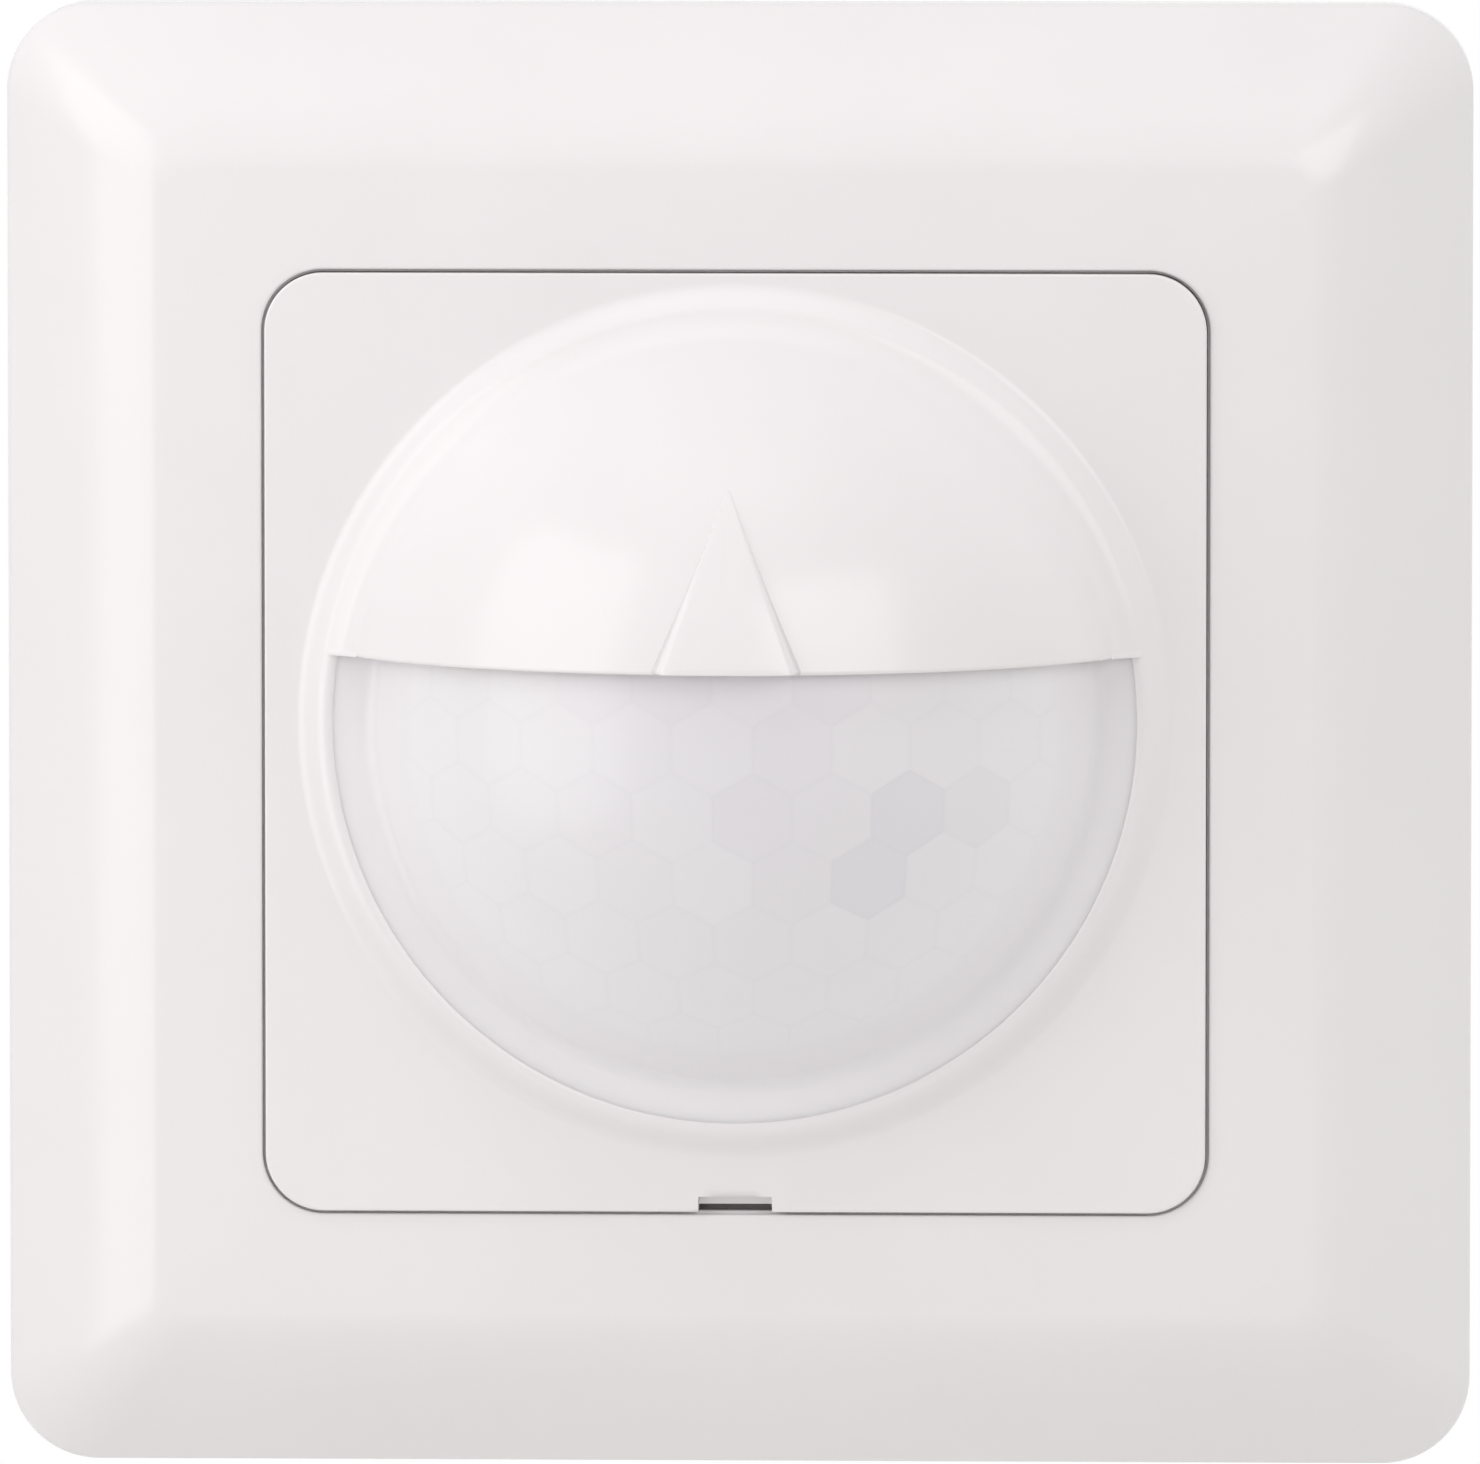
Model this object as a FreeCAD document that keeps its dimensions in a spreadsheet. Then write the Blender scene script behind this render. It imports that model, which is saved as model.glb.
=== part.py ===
import FreeCAD, Part
import math
import os
from types import SimpleNamespace

import Sketcher
from FreeCAD import Placement, Rotation, Vector

# Flush-mounted motion detector. X runs to the right, Z up and Y into the wall, with the wall's
# surface at Y = 0. Places along Y are given as heights: millimetres forward of the wall, so a piece
# inside the wall box has negative heights. The origin is the centre of the support ring's back.

# Driving dimensions, in millimetres
SIZES = {
    # cover frame
    "frame_side": 86.0,
    "frame_corner": 5.2,
    "frame_edge": 2.6,
    "frame_height": 9.2,
    "frame_slope": 9.4,
    "frame_crown_corner": 1.6,
    "frame_wall": 1.8,
    "frame_lip": 1.6,
    "frame_lip_foot": 0.3,
    "frame_round": 0.4,
    "ledge_thick": 1.6,
    "ledge_gap": 0.3,
    "screw_window": 10.0,
    "screw_window_tall": 4.3,
    "seam": 0.2,
    # front cover
    "plate_side": 55.0,
    "plate_corner": 3.4,
    "plate_proud": 0.4,
    "plate_face": 2.0,
    "plate_rim": 1.8,
    "plate_rim_depth": 3.6,
    "plate_round": 0.5,
    "seat_gap": 0.1,
    "dome_lift": 1.3,
    "rim_bore": 23.1,
    "rim_crest": 0.75,
    "rim_rise": 1.1,
    "hood_rise": 15.5,
    "hood_wall": 1.6,
    "hood_root_rise": 0.28,
    "hood_edge_lift": 3.9,
    "cavity_drop": 0.1,
    "mark_wide": 8.4,
    "mark_tall": 10.5,
    "mark_gap": 0.05,
    "mark_relief": 0.65,
    "notch_wide": 4.3,
    "notch_deep": 0.9,
    "notch_tall": 1.6,
    "post_reach": 22.0,
    "post_radius": 1.1,
    "post_long": 3.0,
    # lens
    "lens_gap": 0.25,
    "lens_wall": 1.0,
    "lens_flange": 1.0,
    "lens_flange_thick": 1.0,
    "lens_collar_gap": 0.1,
    "lens_collar_drop": 0.3,
    "lens_lip_rise": 1.0,
    "lens_lip_wide": 1.9,
    "lens_lip_gap": 0.25,
    "lens_bore_margin": 2.2,
    # lens retainer and its legs
    "fit_gap": 0.3,
    "post_gap": 0.1,
    "retainer_thick": 1.6,
    "retainer_corner": 2.0,
    "leg_inset": 0.9,
    "leg_thick": 1.4,
    "leg_wide": 5.0,
    "leg_reach": 12.0,
    "leg_tip_gap": 0.4,
    "leg_slot_gap": 0.15,
    # springs that grip the legs
    "spring_strip": 0.35,
    "spring_wide": 4.0,
    "spring_bow": 0.55,
    "spring_seat": 1.0,
    # support ring
    "ring_margin": 5.5,
    "ring_thick": 1.0,
    "ring_corner": 6.0,
    "ring_hole": 19.0,
    "box_screw_spacing": 60.0,
    "box_hole": 2.1,
    "box_slot_long": 9.0,
    "corner_hole": 2.2,
    "corner_hole_reach": 27.5,
    # front carrier
    "carrier_inset": 0.5,
    "carrier_thick": 3.2,
    "carrier_corner": 3.0,
    "carrier_hole": 12.5,
    "carrier_groove": 0.6,
    "groove_gap": 0.2,
    "carrier_screw_x": 16.6,
    "carrier_screw_z": 17.0,
    "carrier_screw": 1.4,
    "carrier_screw_head": 2.6,
    "carrier_screw_head_thick": 1.8,
    "carrier_screw_long": 9.0,
    "screw_hole_gap": 0.2,
    "head_gap": 0.3,
    "drive_slot": 0.7,
    "drive_depth": 0.9,
    # inner cover
    "inner_margin": 1.3,
    "inner_wall": 1.0,
    "inner_face": 1.2,
    "inner_height": 9.2,
    "inner_round": 0.6,
    "can_hole_gap": 0.5,
    "eye_hole_gap": 0.25,
    "knob_hole_gap": 0.3,
    # sensor board
    "board_thick": 1.6,
    "board_gap": 0.4,
    "board_boss": 2.2,
    "board_boss_tall": 0.6,
    "board_screw_reach": 15.4,
    "board_screw_drop": 1.0,
    "board_screw": 0.9,
    "board_screw_long": 3.6,
    "board_screw_head": 1.7,
    "board_screw_head_thick": 1.1,
    # infrared sensor
    "spacer_radius": 4.7,
    "spacer_thick": 1.0,
    "header_radius": 4.6,
    "header_thick": 0.5,
    "can_radius": 4.1,
    "can_tall": 3.3,
    "can_wall": 0.3,
    "window_wide": 4.2,
    "window_tall": 3.4,
    "window_thick": 0.5,
    "element_thick": 0.8,
    "element_tall": 2.0,
    # light sensor and status lamp
    "eye_x": 8.0,
    "eye_z": 11.0,
    "light_sensor_radius": 2.5,
    "light_sensor_tall": 2.6,
    "lamp_radius": 1.5,
    "lamp_tall": 3.0,
    "lamp_flange": 0.35,
    "lamp_flange_thick": 0.6,
    # chips on the sensor board
    "chip_x": 8.7,
    "chip_z": 1.0,
    "chip_wide": 5.0,
    "chip_tall": 4.0,
    "chip_thick": 1.4,
    "small_chip_x": -8.0,
    "small_chip_spacing": 2.8,
    "small_chip_wide": 2.0,
    "small_chip_tall": 1.25,
    "small_chip_thick": 0.9,
    # setting knobs
    "knob_x": 9.5,
    "knob_drop": 9.0,
    "middle_knob_drop": 14.0,
    "trimmer_side": 6.8,
    "trimmer_thick": 1.5,
    "knob_radius": 2.8,
    "knob_tall": 1.7,
    "knob_lift": 0.05,
    "knob_slot": 0.8,
    "knob_slot_deep": 0.8,
    # link between the boards
    "link_z": -8.0,
    "link_spacing": 2.54,
    "link_deep": 2.5,
    "link_pin": 0.32,
    # insert housing
    "tub_radius": 26.8,
    "tub_width": 41.0,
    "tub_depth": 31.0,
    "tub_wall": 1.5,
    "tub_boss": 3.0,
    "tub_boss_long": 8.0,
    "wedge_long": 6.0,
    "wedge_rise": 2.0,
    "wedge_wide": 6.0,
    "board_rail": 1.0,
    "board_rail_thick": 2.0,
    "board_rail_long": 7.0,
    "board_rail_reach": 9.5,
    # claws
    "claw_offset": 4.0,
    "claw_screw": 1.5,
    "claw_screw_long": 27.0,
    "claw_screw_head": 2.6,
    "claw_screw_head_thick": 1.8,
    "claw_screw_gap": 0.06,
    "ring_screw_gap": 0.25,
    "nut_reach": 2.3,
    "nut_thick": 4.0,
    "nut_wide": 7.0,
    "nut_depth": 19.0,
    "trunnion_radius": 1.0,
    "trunnion_gap": 0.06,
    "claw_sheet": 1.2,
    "claw_side_gap": 0.2,
    "claw_web_gap": 1.0,
    "claw_front_reach": 3.4,
    "claw_back_reach": 9.0,
    "claw_tooth": 2.0,
    "claw_eye": 2.2,
    # power board and its parts
    "power_board_depth": 4.0,
    "power_board_tall": 27.4,
    "power_board_gap": 0.1,
    "power_board_corner": 1.5,
    "relay_x": -8.5,
    "relay_z": 5.75,
    "relay_wide": 19.0,
    "relay_tall": 15.5,
    "relay_deep": 15.5,
    "relay_wall": 0.7,
    "relay_base": 1.4,
    "coil_radius": 4.2,
    "coil_long": 8.0,
    "coil_offset": 3.0,
    "bobbin_flange": 0.9,
    "bobbin_radius": 5.2,
    "yoke_sheet": 1.2,
    "yoke_gap": 0.4,
    "armature_sheet": 1.0,
    "armature_gap": 0.9,
    "contact_post": 0.5,
    "contact_radius": 1.2,
    "contact_thick": 0.6,
    "film_x": 10.5,
    "film_z": 10.2,
    "film_wide": 15.0,
    "film_tall": 6.6,
    "film_deep": 12.5,
    "smoothing_x": 7.6,
    "smoothing_z": 0.4,
    "smoothing_radius": 5.0,
    "smoothing_long": 16.0,
    "supply_x": 15.8,
    "supply_z": 1.6,
    "supply_radius": 3.0,
    "supply_long": 11.0,
    "varistor_x": -12.5,
    "varistor_z": -8.0,
    "varistor_radius": 4.8,
    "varistor_thick": 3.6,
    "fuse_x": -2.2,
    "fuse_z": -7.6,
    "fuse_radius": 3.6,
    "fuse_long": 7.2,
    "choke_x": 6.2,
    "choke_z": -9.0,
    "choke_radius": 3.0,
    "choke_long": 8.0,
    "choke_flange": 0.8,
    "choke_groove": 0.7,
    "bridge_x": 14.4,
    "bridge_z": -8.4,
    "bridge_wide": 6.6,
    "bridge_tall": 7.6,
    "bridge_deep": 3.4,
    # terminals
    "terminal_pitch": 11.0,
    "terminal_side_wall": 2.0,
    "terminal_deep": 13.0,
    "terminal_top": 14.2,
    "terminal_tall": 11.6,
    "terminal_gap": 0.3,
    "chamber_wide": 7.8,
    "chamber_top_wall": 1.4,
    "chamber_foot_wall": 1.6,
    "chamber_front_wall": 1.2,
    "chamber_back_wall": 1.3,
    "wire_hole": 1.4,
    "wire_hole_depth": 9.2,
    "cage_gap": 0.2,
    "cage_wall": 0.9,
    "cage_deep": 7.6,
    "cage_tall": 5.6,
    "terminal_screw": 1.5,
    "terminal_screw_head": 2.3,
    "terminal_screw_gap": 0.06,
    "terminal_screw_tip": 0.1,
    "terminal_head_thick": 1.4,
    "terminal_head_gap": 0.2,
    "busbar_thick": 1.0,
    "busbar_wide": 3.0,
    "busbar_lift": 7.7,
    "busbar_slot_gap": 0.2,
    "busbar_drop": 12.6,
}
SLOPE_STEPS = 4  # stretches between the sections of the frame's rounded slope
SLOPE_POWER = 1.5  # how fast that slope flattens out towards the plate
TERMINALS = 3
LINK_PINS = 6

doc = FreeCAD.newDocument("motion_detector")
sheet = doc.addObject("Spreadsheet::Sheet", "Sizes")
for row, (alias, length) in enumerate(SIZES.items(), start=1):
    sheet.set(f"A{row}", alias)
    sheet.set(f"B{row}", str(length))
    sheet.setAlias(f"B{row}", alias)
doc.recompute()


class Size:
    """A length that knows its number and the formula on the sheet's cells that gives it."""

    def __init__(self, number, formula):
        self.number = number
        self.formula = formula

    def __add__(self, other):
        other = sized(other)
        return Size(self.number + other.number, f"({self.formula} + {other.formula})")

    def __sub__(self, other):
        other = sized(other)
        return Size(self.number - other.number, f"({self.formula} - {other.formula})")

    def __mul__(self, other):
        other = sized(other)
        return Size(self.number * other.number, f"{self.formula} * {other.formula}")

    def __truediv__(self, other):
        other = sized(other)
        return Size(self.number / other.number, f"{self.formula} / ({other.formula})")

    def __neg__(self):
        return Size(-self.number, f"(-1 * {self.formula})")

    def __radd__(self, other):
        return sized(other) + self

    def __rsub__(self, other):
        return sized(other) - self

    def __rmul__(self, other):
        return sized(other) * self


def sized(value):
    """A plain number as a Size, so that both can be mixed in a formula."""
    if isinstance(value, Size):
        return value
    return Size(float(value), f"({float(value):.6f})")


def root(value):
    return Size(math.sqrt(value.number), f"sqrt({value.formula})")


mm = SimpleNamespace(**{alias: Size(length, f"Sizes.{alias}") for alias, length in SIZES.items()})

# Sizes that follow from the driving ones
frame_half = mm.frame_side / 2
plate_half = mm.plate_side / 2
opening_half = plate_half + mm.seam
plate_top = mm.frame_height + mm.plate_proud
plate_inside = plate_top - mm.plate_face
plate_foot = plate_top - mm.plate_rim_depth
plate_inner_half = plate_half - mm.plate_rim
ledge_top = plate_foot - mm.seat_gap
ledge_half = plate_inner_half + mm.ledge_gap
rim_outer = mm.rim_bore + mm.rim_crest * 2
rim_foot = mm.rim_rise - mm.rim_crest
hood_top = plate_top + mm.hood_rise
hood_root = mm.rim_bore + mm.rim_crest / 2
hood_root_height = plate_top + mm.hood_root_rise
hood_bulge = hood_top - hood_root_height
hood_radius = (hood_root * hood_root + hood_bulge * hood_bulge) / (hood_bulge * 2)
dome_centre = hood_top - hood_radius
hood_inner = hood_radius - mm.hood_wall
hood_edge = mm.dome_lift + mm.hood_edge_lift
lens_radius = hood_inner - mm.lens_gap
lens_inner = lens_radius - mm.lens_wall
lens_bore = mm.rim_bore - mm.lens_bore_margin
lens_foot = plate_inside - mm.lens_flange_thick
retainer_half = plate_inner_half - mm.fit_gap
retainer_foot = lens_foot - mm.retainer_thick
leg_outside = retainer_half - mm.leg_inset
leg_inside = leg_outside - mm.leg_thick
leg_tip = mm.ring_thick + mm.leg_tip_gap
box_screw_reach = mm.box_screw_spacing / 2
ring_half = box_screw_reach + mm.ring_margin
carrier_half = ledge_half - mm.carrier_inset
carrier_top = mm.ring_thick + mm.carrier_thick
spring_wall = leg_inside - mm.spring_seat
inner_radius = lens_bore - mm.inner_margin
inner_bore = inner_radius - mm.inner_wall
inner_under = mm.inner_height - mm.inner_face
board_back = carrier_top + mm.board_boss_tall
board_front = board_back + mm.board_thick
board_radius = inner_bore - mm.board_gap
header_foot = board_front + mm.spacer_thick
can_foot = header_foot + mm.header_thick
can_top = can_foot + mm.can_tall
knob_foot = board_front + mm.trimmer_thick + mm.knob_lift
tub_half = mm.tub_width / 2
tub_inner_half = tub_half - mm.tub_wall
claw_screw_x = tub_half + mm.claw_offset
power_front = -mm.power_board_depth
power_back = power_front - mm.board_thick
terminal_half = mm.terminal_pitch + mm.chamber_wide / 2 + mm.terminal_side_wall
terminal_front = mm.terminal_deep - mm.tub_depth
terminal_foot = -(mm.terminal_top + mm.terminal_tall)
busbar_front = mm.busbar_lift - mm.tub_depth
busbar_back = busbar_front - mm.busbar_thick


nodes = {}


def keep(made, name):
    """Marks a finished piece as a node under its own name."""
    made.Label = name
    nodes[name] = made
    return made


class Drawing:
    """A sketch on one of a body's origin planes, with every size bound to the sheet."""

    def __init__(self, owner, role, lift=0, rise=0):
        plane = next(f for f in owner.Origin.OriginFeatures if f.Role == role)
        self.sketch = owner.newObject("Sketcher::SketchObject", "outline")
        self.sketch.AttachmentSupport = (plane, [""])
        self.sketch.MapMode = "FlatFace"
        self.sketch.setExpression("AttachmentOffset.Base.z", sized(lift).formula)
        self.sketch.setExpression("AttachmentOffset.Base.y", sized(rise).formula)

    def bound(self, rules):
        """Adds rules of (constraint arguments, size) and binds each to its size."""
        made = [Sketcher.Constraint(*rule, sized(size).number) for rule, size in rules]
        first = self.sketch.ConstraintCount
        self.sketch.addConstraint(made)
        for place, (_, size) in enumerate(rules, start=first):
            self.sketch.setExpression(f"Constraints[{place}]", sized(size).formula)

    def circle(self, across, up, radius):
        across, up, radius = sized(across), sized(up), sized(radius)
        centre = Vector(across.number, up.number, 0)
        round_edge = Part.Circle(centre, Vector(0, 0, 1), radius.number)
        made = self.sketch.addGeometry(round_edge, False)
        self.bound([
            (("DistanceX", -1, 1, made, 3), across),
            (("DistanceY", -1, 1, made, 3), up),
            (("Radius", made), radius),
        ])
        return self

    def path(self, corners):
        """A closed outline. A corner is (across, up), or (across, up, radius, turn) where the edge
        that leaves it is an arc of that radius, turning left (1) or right (-1)."""
        spots = [Vector(sized(c[0]).number, sized(c[1]).number, 0) for c in corners]
        edges, ends = [], []
        for corner, start, end in zip(corners, spots, spots[1:] + spots[:1]):
            if len(corner) == 2:
                edges.append(Part.LineSegment(start, end))
                ends.append((1, 2))
                continue
            radius, turn = sized(corner[2]).number, corner[3]
            chord = end - start
            side = Vector(-chord.y, chord.x, 0).normalize() * turn
            reach = math.sqrt(max(radius**2 - chord.Length**2 / 4, 0))
            centre = start + chord * 0.5 + side * reach
            first, last = (start, end) if turn > 0 else (end, start)
            angles = [math.atan2(p.y - centre.y, p.x - centre.x) for p in (first, last)]
            if angles[1] < angles[0]:
                angles[1] += 2 * math.pi
            edges.append(Part.ArcOfCircle(Part.Circle(centre, Vector(0, 0, 1), radius), *angles))
            ends.append((1, 2) if turn > 0 else (2, 1))
        made = self.sketch.addGeometry(edges, False)
        joins = []
        for i, edge in enumerate(made):
            after = (i + 1) % len(made)
            joins.append(Sketcher.Constraint("Coincident", edge, ends[i][1], made[after], ends[after][0]))
        self.sketch.addConstraint(joins)
        rules = []
        for i, corner in enumerate(corners):
            rules.append((("DistanceX", -1, 1, made[i], ends[i][0]), corner[0]))
            rules.append((("DistanceY", -1, 1, made[i], ends[i][0]), corner[1]))
            if len(corner) > 2:
                rules.append((("Radius", made[i]), corner[2]))
        self.bound(rules)
        return self

    def box(self, left, right, foot, top):
        return self.path([(left, foot), (right, foot), (right, top), (left, top)])

    def rounded(self, left, right, foot, top, radius):
        """A rectangle with round corners, drawn anticlockwise from its foot."""
        return self.path([
            (left + radius, foot),
            (right - radius, foot, radius, 1),
            (right, foot + radius),
            (right, top - radius, radius, 1),
            (right - radius, top),
            (left + radius, top, radius, 1),
            (left, top - radius),
            (left, foot + radius, radius, 1),
        ])

    def square(self, half, radius):
        return self.rounded(-half, half, -half, half, radius)


class Moulding:
    """A body built feature by feature. Front outlines lie parallel to the wall."""

    def __init__(self, name):
        self.body = doc.addObject("PartDesign::Body", name)
        self.body.Label = name

    def front(self, height):
        return Drawing(self.body, "XZ_Plane", lift=height)

    def side(self, axis_up=0):
        return Drawing(self.body, "YZ_Plane", rise=axis_up)

    def plan(self, up):
        return Drawing(self.body, "XY_Plane", lift=up)

    def feature(self, kind, drawing, **settings):
        made = self.body.newObject(f"PartDesign::{kind}", kind.lower())
        made.Profile = (drawing.sketch, [""])
        for name, value in settings.items():
            if isinstance(value, Size):
                made.setExpression(name, value.formula)
            else:
                setattr(made, name, value)
        return made

    def add(self, drawing, thick):
        """Grows the outline along its normal: forward from a front outline, up from a plan."""
        return self.feature("Pad", drawing, Length=sized(thick))

    def cut(self, drawing, thick, onward=False):
        """Cuts against the outline's normal, or along it where onward is set."""
        return self.feature("Pocket", drawing, Length=sized(thick), Reversed=onward)

    def turn(self, drawing):
        return self.feature("Revolution", drawing, ReferenceAxis=(drawing.sketch, ["H_Axis"]), Angle=360)

    def carve(self, drawing):
        return self.feature("Groove", drawing, ReferenceAxis=(drawing.sketch, ["H_Axis"]), Angle=360)

    def loft(self, kind, drawings):
        made = self.feature(kind, drawings[0])
        made.Sections = [drawing.sketch for drawing in drawings[1:]]
        return made

    def round_off(self, radius, chosen):
        """Rounds the edges that the test function chosen picks."""
        doc.recompute()
        base = self.body.Tip
        names = [f"Edge{i}" for i, edge in enumerate(base.Shape.Edges, start=1) if chosen(edge)]
        made = self.body.newObject("PartDesign::Fillet", "round")
        made.Base = (base, names)
        made.setExpression("Radius", sized(radius).formula)
        return made

    def done(self):
        return keep(self.body, self.body.Label)


def height_is(edge, height):
    """True where every point of the edge lies at one height forward of the wall."""
    box = edge.BoundBox
    return abs(-box.YMin - height) < 1e-4 and abs(-box.YMax - height) < 1e-4


def bind(made, **formulas):
    for name, size in formulas.items():
        made.setExpression(name.replace("_", "."), sized(size).formula)


def bound_box(name, across, height, up):
    """A block between two places along each of X, height and Z."""
    made = doc.addObject("Part::Box", name)
    across, height, up = ([sized(end) for end in pair] for pair in (across, height, up))
    bind(made, Length=across[1] - across[0], Width=height[1] - height[0], Height=up[1] - up[0])
    bind(made, Placement_Base_x=across[0], Placement_Base_y=-height[1], Placement_Base_z=up[0])
    return made


TURNS = {"y": Rotation(Vector(1, 0, 0), 90), "z": Rotation(), "x": Rotation(Vector(0, 1, 0), 90)}


def rod(name, axis, across, height, up, radius):
    """A cylinder along one axis. Its place along that axis is a pair, the others are its centre."""
    made = doc.addObject("Part::Cylinder", name)
    made.Placement = Placement(Vector(), TURNS[axis])
    span = {"x": across, "y": height, "z": up}[axis]
    low, high = sized(span[0]), sized(span[1])
    bind(made, Radius=radius, Height=high - low)
    bind(
        made,
        Placement_Base_x=low if axis == "x" else across,
        Placement_Base_y=-(low if axis == "y" else sized(height)),
        Placement_Base_z=low if axis == "z" else up,
    )
    return made


def fuse(name, pieces):
    made = doc.addObject("Part::MultiFuse", name)
    made.Shapes = pieces
    return made


def cut(name, base, tool):
    made = doc.addObject("Part::Cut", name)
    made.Base = base
    made.Tool = tool
    return made


def group(name, pieces):
    """Identical pieces that share one node as separate solids."""
    made = doc.addObject("Part::Compound", name)
    made.Links = pieces
    return keep(made, name)


def screw(name, across, up, seat, shank, long, head, head_thick, forward=1):
    """A slotted screw along Y. Its head lies on seat and its shank runs the other way, into the
    wall where forward is 1 and out of it where forward is -1."""
    seat = sized(seat)
    head_end = seat + head_thick * forward
    tip = seat - long * forward
    spans = [(seat, head_end), (tip, seat)]
    spans = spans if forward > 0 else [span[::-1] for span in spans]
    whole = fuse(f"{name}_blank", [
        rod(f"{name}_head", "y", across, spans[0], up, head),
        rod(f"{name}_shank", "y", across, spans[1], up, shank),
    ])
    depths = (head_end - mm.drive_depth * forward, head_end + mm.drive_depth * forward)
    depths = depths if forward > 0 else depths[::-1]
    half = mm.drive_slot / 2
    slot = bound_box(f"{name}_slot", (across - head * 2, across + head * 2), depths, (up - half, up + half))
    return cut(name, whole, slot)


def slope_sections(made, inset, drop):
    """Sections of the rounded slope, from the upright edge to the flat crown: the rise flattens out
    as a power of the way left to the crown."""
    sections = []
    for step in range(SLOPE_STEPS + 1):
        way = step / SLOPE_STEPS
        risen = 1 - (1 - way) ** SLOPE_POWER
        half = frame_half - inset - mm.frame_slope * way
        height = mm.frame_edge + (mm.frame_height - mm.frame_edge - drop) * risen
        corner = mm.frame_corner - (mm.frame_corner - mm.frame_crown_corner) * way
        sections.append(made.front(height).square(half, corner))
    return sections


def make_cover_frame():
    made = Moulding("cover_frame")
    made.add(made.front(0).square(frame_half, mm.frame_corner), mm.frame_edge)
    made.loft("AdditiveLoft", slope_sections(made, 0, 0))
    hollow_half = frame_half - mm.frame_wall
    made.cut(made.front(mm.frame_edge).square(hollow_half, mm.frame_corner), mm.frame_edge)
    made.loft("SubtractiveLoft", slope_sections(made, mm.frame_wall, mm.frame_wall))
    lip = made.front(mm.ring_thick + mm.frame_lip_foot)
    lip.square(opening_half + mm.frame_lip, mm.plate_corner)
    made.add(lip, mm.frame_height - mm.frame_wall - mm.ring_thick - mm.frame_lip_foot)
    made.cut(made.front(mm.frame_height).square(opening_half, mm.plate_corner + mm.seam), mm.frame_height)
    shelf = made.front(ledge_top - mm.ledge_thick)
    shelf.square(opening_half + mm.frame_lip / 2, mm.plate_corner).square(ledge_half, mm.retainer_corner)
    made.add(shelf, mm.ledge_thick)
    window, reach = mm.screw_window / 2, opening_half + mm.frame_lip * 2
    near = opening_half - mm.frame_lip
    windows = made.front(mm.screw_window_tall)
    windows.box(near, reach, -window, window).box(-reach, -near, -window, window)
    windows.box(-window, window, near, reach).box(-window, window, -reach, -near)
    made.cut(windows, mm.screw_window_tall)
    crown = (frame_half - mm.frame_slope).number
    made.round_off(
        mm.frame_round,
        lambda edge: height_is(edge, mm.frame_height.number) and edge.BoundBox.XMax < crown
        and edge.BoundBox.XMin > -crown and edge.BoundBox.ZMax < crown and edge.BoundBox.ZMin > -crown,
    )
    return made.done()


def make_front_cover():
    made = Moulding("front_cover")
    axis = mm.dome_lift
    made.add(made.front(plate_foot).square(plate_half, mm.plate_corner), mm.plate_rim_depth)
    inside = made.front(plate_inside).square(plate_inner_half, mm.retainer_corner)
    made.cut(inside, mm.plate_rim_depth)
    made.round_off(mm.plate_round, lambda edge: height_is(edge, plate_top.number))
    bore, crest, foot = mm.rim_bore, mm.rim_crest, rim_foot
    shoulder = plate_top + foot
    made.turn(made.side(axis).path([
        (-plate_inside, bore),
        (-plate_inside, rim_outer + foot),
        (-plate_top, rim_outer + foot, foot, -1),
        (-shoulder, rim_outer, crest, 1),
        (-(shoulder + crest), bore + crest, crest, 1),
        (-shoulder, bore),
    ]))
    made.cut(made.front(plate_top).circle(0, axis, bore), mm.plate_rim_depth)
    cavity = plate_top - mm.cavity_drop
    made.turn(made.side(axis).path([
        (-cavity, 0),
        (-cavity, hood_root),
        (-hood_root_height, hood_root, hood_radius, 1),
        (-hood_top, 0),
    ]))
    mark_foot = hood_edge + mm.mark_gap
    mark = made.front(plate_top + mm.hood_wall)
    mark.path([(-mm.mark_wide / 2, mark_foot), (mm.mark_wide / 2, mark_foot), (0, mark_foot + mm.mark_tall)])
    made.add(mark, mm.hood_rise)
    relief = hood_radius + mm.mark_relief
    reach = mm.rim_bore - mm.lens_bore_margin
    trim = dome_centre + root(relief * relief - reach * reach)
    beyond = hood_top + mm.hood_wall + mm.mark_relief
    made.carve(made.side(axis).path([
        (-trim, reach, relief, 1),
        (-(dome_centre + relief), 0),
        (-beyond, 0),
        (-beyond, reach),
    ]))
    cavity_rise = cavity - dome_centre
    cavity_reach = root(hood_inner * hood_inner - cavity_rise * cavity_rise)
    made.carve(made.side(axis).path([
        (-cavity, 0),
        (-cavity, cavity_reach, hood_inner, 1),
        (-(dome_centre + hood_inner), 0),
    ]))
    half_edge = root(bore * bore - mm.hood_edge_lift * mm.hood_edge_lift)
    moon = made.front(hood_top + mm.mark_relief)
    moon.path([
        (-half_edge, hood_edge, bore, 1),
        (0, axis - bore, bore, 1),
        (half_edge, hood_edge),
    ])
    made.cut(moon, mm.hood_rise + mm.plate_rim_depth)
    notch = made.front(plate_foot)
    notch.box(-mm.notch_wide / 2, mm.notch_wide / 2, -plate_half - mm.notch_deep, mm.notch_deep - plate_half)
    made.cut(notch, mm.notch_tall + mm.plate_rim_depth, onward=True)
    posts = made.front(plate_inside - mm.post_long)
    for side in (-1, 1):
        for level in (-1, 1):
            posts.circle(mm.post_reach * side, mm.post_reach * level, mm.post_radius)
    made.add(posts, mm.post_long)
    return made.done()


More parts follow.
